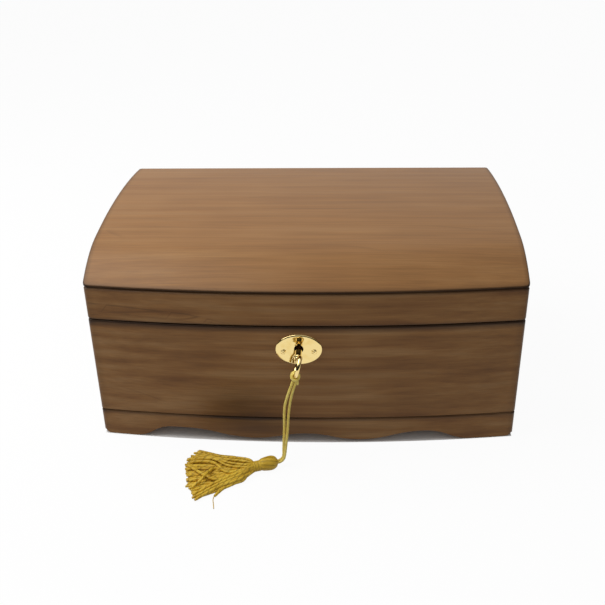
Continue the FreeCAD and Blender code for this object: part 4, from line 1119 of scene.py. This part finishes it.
def makeHead():
    # a full, blunt barrel of folded threads, with fine ridges that turn slowly along it; flat where it lies
    t = tassel
    angle = np.linspace(0, 2 * np.pi, 200, endpoint=False)[None, :]
    s = np.linspace(0, 1, 44)[:, None]
    share, swell = np.array(headShape).T
    phase = t["ridges"] * (angle / (2 * np.pi) + t["ridgeTurn"] * s)
    ridge = t["ridgeDepth"] * (np.abs(np.sin(np.pi * phase)) - 1) + t["uneven"] * np.sin(3 * angle + 4 * s)
    radius = t["headRadius"] * np.interp(s, share, swell) + ridge
    along = t["headStart"] + (t["headEnd"] - t["headStart"]) * s + 0 * angle
    points = aboutAxis(along, radius, angle + 0 * s)
    points[..., 2] = np.maximum(points[..., 2] + t["headLift"], 0.1)
    piece = makePiece("tasselHead", [(points, False, True, True)], threadFinish, 80.0)
    storeAttribute(piece, "lay", "FLOAT_VECTOR", layOf(points, along, angle, phase))
    return placePiece(piece, "tassel", "gold_thread", "tassel_head")


def makeNeck():
    # a close winding: one wire's swell every pitch, climbing as it goes round
    t = tassel
    angle = np.linspace(0, 2 * np.pi, 64, endpoint=False)[None, :]
    s = np.linspace(0, t["neckLength"], 61)[:, None]
    phase = s / t["windPitch"] + angle / (2 * np.pi)
    radius = t["neckRadius"] - t["windDepth"] + t["windDepth"] * np.abs(np.sin(np.pi * phase))
    points = aboutAxis(s + t["headEnd"] + 0 * angle, radius, angle + 0 * s)
    piece = makePiece("tasselNeck", [(points, False, True, True)], threadFinish, 80.0)
    storeAttribute(piece, "lay", "FLOAT_VECTOR", layOf(points, s, angle, phase))
    return placePiece(piece, "tassel", "gold_thread", "tassel_neck")


def throughPoints(points, count):
    # a Catmull-Rom curve through given points
    p = np.array(points, float)
    p = np.concatenate([[2 * p[0] - p[1]], p, [2 * p[-1] - p[-2]]])
    t = np.linspace(0, len(p) - 3 - 1e-9, count)
    i = t.astype(int)
    f = (t - i)[:, None]
    a, b, c, d = p[i], p[i + 1], p[i + 2], p[i + 3]
    second, third = 2 * a - 5 * b + 4 * c - d, 3 * b - a - 3 * c + d
    return 0.5 * (2 * b + (c - a) * f + second * f ** 2 + third * f ** 3)


mainThreads = {           # threads that lie on top: where round the neck they start, then points
    "backEdge": (20, [(-45.5, -43.3, 6.6), (-53.1, -40.6, 6.0), (-61.5, -39.0, 5.4), (-70.0, -37.5, 4.8),
                      (-78.9, -32.6, 3.8), (-88.8, -27.6, 2.6)]),
    "backSecond": (45, [(-45.1, -47.5, 7.6), (-52.6, -45.3, 7.2), (-62.7, -43.2, 6.4), (-71.2, -40.7, 5.6),
                        (-79.2, -36.5, 4.6), (-89.6, -31.0, 3.2)]),
    "backThird": (65, [(-45.5, -51.4, 8.2), (-52.1, -50.4, 7.6), (-60.5, -48.0, 7.0), (-67.4, -44.8, 6.6),
                       (-73.5, -41.6, 6.0), (-82.4, -37.4, 4.6), (-90.4, -33.9, 3.2)]),
    "upperSway": (80, [(-45.3, -54.2, 8.2), (-51.8, -53.6, 7.6), (-58.4, -52.2, 7.0), (-65.2, -49.1, 6.6),
                       (-70.3, -44.6, 6.4), (-77.7, -40.9, 5.4), (-87.1, -39.3, 4.0), (-96.8, -38.6, 2.8)]),
    "ridgeSway": (95, [(-45.2, -55.2, 7.6), (-53.1, -57.2, 6.8), (-60.1, -59.2, 6.6), (-65.1, -57.0, 7.0),
                       (-68.4, -53.0, 7.2), (-72.6, -48.5, 6.8), (-77.9, -45.5, 6.0), (-85.6, -43.7, 4.8),
                       (-96.3, -44.5, 3.2)]),
    "crossBack": (110, [(-44.4, -55.0, 7.4), (-51.4, -58.2, 6.6), (-59.0, -62.4, 6.0), (-65.7, -66.8, 5.8),
                        (-71.9, -67.3, 6.6), (-78.7, -63.8, 7.2), (-85.1, -58.3, 6.6), (-91.9, -50.9, 4.8),
                        (-97.1, -46.7, 3.6)]),
    "crossFront": (100, [(-45.3, -55.0, 6.6), (-54.9, -56.2, 5.2), (-64.6, -55.6, 5.2), (-70.5, -53.0, 5.4),
                         (-74.2, -55.2, 6.4), (-77.2, -62.1, 8.0), (-80.0, -68.4, 8.2), (-83.7, -71.6, 6.0),
                         (-87.5, -73.6, 3.6)]),
    "leftUpper": (90, [(-46.3, -52.5, 6.0), (-61.7, -53.1, 4.8), (-74.4, -48.9, 4.0), (-85.9, -48.3, 3.4),
                       (-97.0, -50.8, 2.4)]),
    "leftMiddle": (105, [(-46.2, -54.5, 6.0), (-61.2, -57.8, 4.6), (-73.4, -57.0, 3.8), (-84.6, -57.9, 3.4),
                         (-95.5, -56.3, 2.4)]),
    "leftLower": (120, [(-46.1, -55.1, 5.6), (-60.9, -60.0, 4.4), (-71.1, -62.6, 4.2), (-82.0, -64.3, 4.2),
                        (-93.6, -65.0, 2.6)]),
    "leftLowest": (130, [(-46.1, -55.5, 5.4), (-60.5, -63.8, 4.6), (-70.1, -69.7, 4.6), (-78.7, -70.6, 4.8),
                         (-85.8, -71.4, 4.0), (-93.4, -72.0, 2.4)]),
    "leftFoot": (135, [(-46.1, -55.6, 5.0), (-60.5, -64.6, 4.0), (-70.1, -70.4, 3.4), (-80.2, -72.3, 3.2),
                       (-90.8, -73.6, 2.0)]),
    "bundleBack": (140, [(-44.5, -55.0, 7.2), (-51.3, -59.0, 6.6), (-58.9, -63.3, 6.2), (-66.3, -68.0, 5.6),
                         (-73.7, -72.8, 4.8), (-80.9, -78.1, 3.8), (-86.6, -81.7, 2.6)]),
    "bundleMiddle": (152, [(-44.4, -55.7, 6.6), (-51.1, -61.1, 6.0), (-58.7, -65.7, 5.6),
                           (-66.1, -70.6, 5.0), (-73.4, -75.7, 4.2), (-80.5, -81.4, 3.4),
                           (-86.3, -85.1, 2.4)]),
    "bundleFront": (165, [(-44.5, -55.8, 5.6), (-51.1, -62.0, 5.0), (-57.8, -66.7, 4.6),
                          (-65.2, -71.8, 4.0), (-71.7, -76.8, 3.4), (-78.9, -82.5, 2.6),
                          (-84.2, -86.7, 1.8)]),
    "bundleUnder": (178, [(-43.7, -55.3, 4.4), (-49.6, -61.5, 3.6), (-57.1, -67.2, 3.0),
                          (-64.5, -71.8, 2.6), (-71.1, -75.9, 2.0), (-78.5, -80.2, 1.6),
                          (-83.0, -84.5, 1.3)]),
    "frontBend": (190, [(-43.4, -55.3, 3.6), (-46.2, -59.5, 3.0), (-48.3, -63.7, 2.6), (-51.7, -65.7, 2.2),
                        (-58.6, -68.2, 1.8), (-63.6, -73.0, 1.6), (-67.4, -78.2, 1.4),
                        (-69.3, -81.5, 1.3)]),
}
strayThread = [(-64.3, -73.7, 1.6), (-67.7, -78.4, 1.4), (-69.7, -81.8, 1.1), (-70.0, -85.5, 0.9),
               (-69.2, -89.6, 0.6), (-68.3, -94.8, 0.4)]


def rootAt(degrees, reach):
    # a point in the neck's end, at an angle from the back over the top
    a = math.radians(degrees)
    out = math.cos(a) * tasselBack + math.sin(a) * tasselUp
    return neckEnd - tasselAhead * tassel["rootDepth"] + reach * out


def makeThreads():
    # Listed threads on top, and two seeded layers below them that fill the fan from edge to edge:
    # each leaves the neck, bulges towards its own edge, sags to the floor and ends on the fan's rim
    t = tassel
    chance = np.random.default_rng(t["seed"])
    routes = [[rootAt(degrees, t["rootRadius"]), *points] for degrees, points in mainThreads.values()]
    rim = np.array(fanEnds)
    rimShare = alongLength(rim) / alongLength(rim)[-1]
    for layer, (count, height) in enumerate(t["layers"]):
        for i in range(count):
            share = (i + 0.5 + 0.25 * chance.uniform(-1, 1)) / count
            end = np.array([np.interp(share, rimShare, rim[:, 0]), np.interp(share, rimShare, rim[:, 1])])
            root = rootAt(share * 180 if layer else 350 - share * 160, t["rootRadius"] - 0.5 * layer)
            end = root[:2] + (end - root[:2]) * chance.uniform(0.955, 1.0)
            run = end - root[:2]
            across = np.array([run[1], -run[0]]) / np.hypot(*run)
            bulge = (0.5 - share) * 7.0
            sway = chance.uniform(-1, 1, 3) * (0.5, 1.5, 1.0)
            spots = [(0.12, bulge * 0.5, t["tip"][2] * 0.75 + height * 0.25),
                     (0.34, bulge + sway[0], height + 1.5), (0.6, bulge * 0.6 + sway[1], height + 0.7),
                     (0.85, bulge * 0.2 + sway[2], height), (1.0, 0.0, height)]
            routes.append([root] + [(*(root[:2] + run * f + across * w), z) for f, w, z in spots])
    yarns = []
    taper = np.interp(np.linspace(0, 1, 48), (0, 0.1, 0.96, 1.0), (0.8, 1, 1, 0.75))
    for i, route in enumerate(routes):
        path = throughPoints(route, 48)
        path[:, 2] = np.maximum(path[:, 2], t["threadRadius"] + 0.1)
        radius = t["threadRadius"] * chance.uniform(0.88, 1.06) * taper
        tube, lay = tubeSurface(path, radius, 2, t["threadPitch"], 0.07, 12, (0.0, 0.0, 1.0))
        yarns.append((tube, lay + (0, 0, i)))
    hair = throughPoints(strayThread, 30)
    yarns.append(tubeSurface(hair, t["strayRadius"], 2, t["strayPitch"], 0.1, 7, (0.0, 0.0, 1.0)))
    piece = makeYarns("tasselThreads", yarns, threadFinish)
    return placePiece(piece, "tassel", "gold_thread", "tassel_threads")


makeThreads()
for side, end in (("left", makeHead()), ("right", makeNeck())):
    piece, route, length = strands[side]
print("tassel made")


# The solids that stay as they are, with their finishes

finishOf = {
    "bottom_board": softwood, "corner_block": softwood, "bolt": steelFinish,
    "lock_drill_pin": steelFinish, "lock_studs": steelFinish, "lock_screws": dullBrass,
    "selvedge_screws": dullBrass,
    "link_plate_screws": dullBrass, "hinge_case_screws": dullBrass, "hinge_lid_screws": dullBrass,
}
for node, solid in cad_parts.items():
    finish = next((f for start, f in finishOf.items() if node.startswith(start)), polishedBrass)
    solid.data.materials.clear()
    solid.data.materials.append(finish)


# Floor, world and lamps: a white sweep and soft light from above, a little from the left

studio = {
    "floor": "#FAFAFA", "underFloor": "#FBF8F5", "floorReach": 4.0, "footprintReach": 0.4,
    "bounce": 0.45, "whiteShare": 0.95, "worldFill": 0.38, "ceiling": (0.0, 0.45, 0.89),
    "keyWatts": 7.2, "keyPlace": (-0.55, 0.0, 0.85), "keySize": 0.8, "keyAim": (0.0, 0.02, 0.08),
}


def makeFloor():
    # White to the eye outside the box; under the box's own outline it lies in shadow.
    # The outline is the bow's circle in front, and straight lines at the sides and back.
    material, tree = newMaterial("whiteSweep")
    place = addNode(tree, "ShaderNodeTexCoord").outputs["Object"]
    parts = addNode(tree, "ShaderNodeSeparateXYZ", {0: place})
    bowRadius = (half ** 2 + box["bow"] ** 2) / (2 * box["bow"])
    bowCentre = (0.0, (bowRadius - box["bow"] - originY) * mm, 0.0)
    toCentre = addNode(tree, "ShaderNodeVectorMath", {0: place, 1: bowCentre}, operation="DISTANCE")
    bowReach = (bowRadius + studio["footprintReach"]) * mm
    inBow = addNode(tree, "ShaderNodeMath", {0: toCentre.outputs["Value"], 1: bowReach},
                    operation="LESS_THAN")
    fromMiddle = addNode(tree, "ShaderNodeMath", {0: parts.outputs[0]}, operation="ABSOLUTE")
    inSides = addNode(tree, "ShaderNodeMath", {0: fromMiddle.outputs[0], 1: (half - 1.0) * mm},
                      operation="LESS_THAN")
    inBack = addNode(tree, "ShaderNodeMath", {0: parts.outputs[1], 1: (box["depth"] - originY) * mm},
                     operation="LESS_THAN")
    across = addNode(tree, "ShaderNodeMath", {0: inBow.outputs[0], 1: inSides.outputs[0]},
                     operation="MULTIPLY")
    under = addNode(tree, "ShaderNodeMath", {0: across.outputs[0], 1: inBack.outputs[0]},
                    operation="MULTIPLY")
    seen = addNode(tree, "ShaderNodeLightPath")
    direct = addNode(tree, "ShaderNodeMath", {0: seen.outputs["Is Camera Ray"],
                     1: seen.outputs["Is Glossy Ray"]}, operation="MAXIMUM")
    shown = addNode(tree, "ShaderNodeMix", {0: under.outputs[0], 6: toLinear(studio["floor"]),
                    7: toLinear(studio["underFloor"])}, data_type="RGBA")
    paperColour = addNode(tree, "ShaderNodeMix", {0: direct.outputs[0], 6: grey(studio["bounce"]),
                          7: shown.outputs[2]}, data_type="RGBA")
    white = addNode(tree, "ShaderNodeMath", {0: direct.outputs[0], 1: under.outputs[0]},
                    operation="SUBTRACT", use_clamp=True)
    share = addNode(tree, "ShaderNodeMath", {0: white.outputs[0], 1: studio["whiteShare"]},
                    operation="MULTIPLY")
    paper = addNode(tree, "ShaderNodeBsdfDiffuse", {"Color": paperColour.outputs[2]})
    glow = addNode(tree, "ShaderNodeEmission", {"Color": grey(1.0), "Strength": 1.0})
    mixed = addNode(tree, "ShaderNodeMixShader", {0: share.outputs[0], 1: paper.outputs[0],
                    2: glow.outputs[0]})
    addNode(tree, "ShaderNodeOutputMaterial", {"Surface": mixed.outputs[0]})
    reach = studio["floorReach"]
    corners = [(-reach, -reach, 0), (reach, -reach, 0), (reach, reach, 0), (-reach, reach, 0)]
    mesh = bpy.data.meshes.new("floor")
    mesh.from_pydata(corners, [], [(0, 1, 2, 3)])
    mesh.materials.append(material)
    floor = bpy.data.objects.new("floor", mesh)
    bpy.context.scene.collection.objects.link(floor)


def makeWorld():
    # White to the eye; an even fill for matt surfaces; for polished ones a dark room with a bright ceiling
    world = bpy.data.worlds.new("studio")
    world.use_nodes = True
    tree = world.node_tree
    tree.nodes.clear()
    seen = addNode(tree, "ShaderNodeLightPath")
    direction = addNode(tree, "ShaderNodeTexCoord").outputs["Generated"]
    upBack = addNode(tree, "ShaderNodeVectorMath", {0: direction, 1: studio["ceiling"]},
                     operation="DOT_PRODUCT")
    room = addNode(tree, "ShaderNodeValToRGB", {0: upBack.outputs["Value"]},
                   [(0.0, grey(0.02)), (0.30, grey(0.06)), (0.60, grey(0.80)), (0.80, grey(1.0))])
    fill = addNode(tree, "ShaderNodeMix", {0: seen.outputs["Is Glossy Ray"], 6: grey(studio["worldFill"]),
                   7: room.outputs[0]}, data_type="RGBA")
    through = addNode(tree, "ShaderNodeMath", {0: seen.outputs["Is Camera Ray"],
                      1: seen.outputs["Is Transmission Ray"]}, operation="MAXIMUM")
    level = addNode(tree, "ShaderNodeMix", {0: through.outputs[0], 6: fill.outputs[2], 7: grey(1.0)},
                    data_type="RGBA")
    light = addNode(tree, "ShaderNodeBackground", {"Color": level.outputs[2], "Strength": 1.0})
    addNode(tree, "ShaderNodeOutputWorld", {"Surface": light.outputs[0]})
    bpy.context.scene.world = world


def makeLamp(name, place, watts, size):
    # a square lamp that looks at the box
    lamp = bpy.data.lights.new(name, "AREA")
    lamp.energy = watts
    lamp.size = size
    holder = bpy.data.objects.new(name, lamp)
    bpy.context.scene.collection.objects.link(holder)
    holder.location = place
    aim = Vector(studio["keyAim"]) - holder.location
    holder.rotation_euler = aim.to_track_quat("-Z", "Y").to_euler()


makeFloor()
makeWorld()
makeLamp("keyLamp", studio["keyPlace"], studio["keyWatts"], studio["keySize"])
bpy.context.scene.view_settings.view_transform = "Standard"
print("studio set")
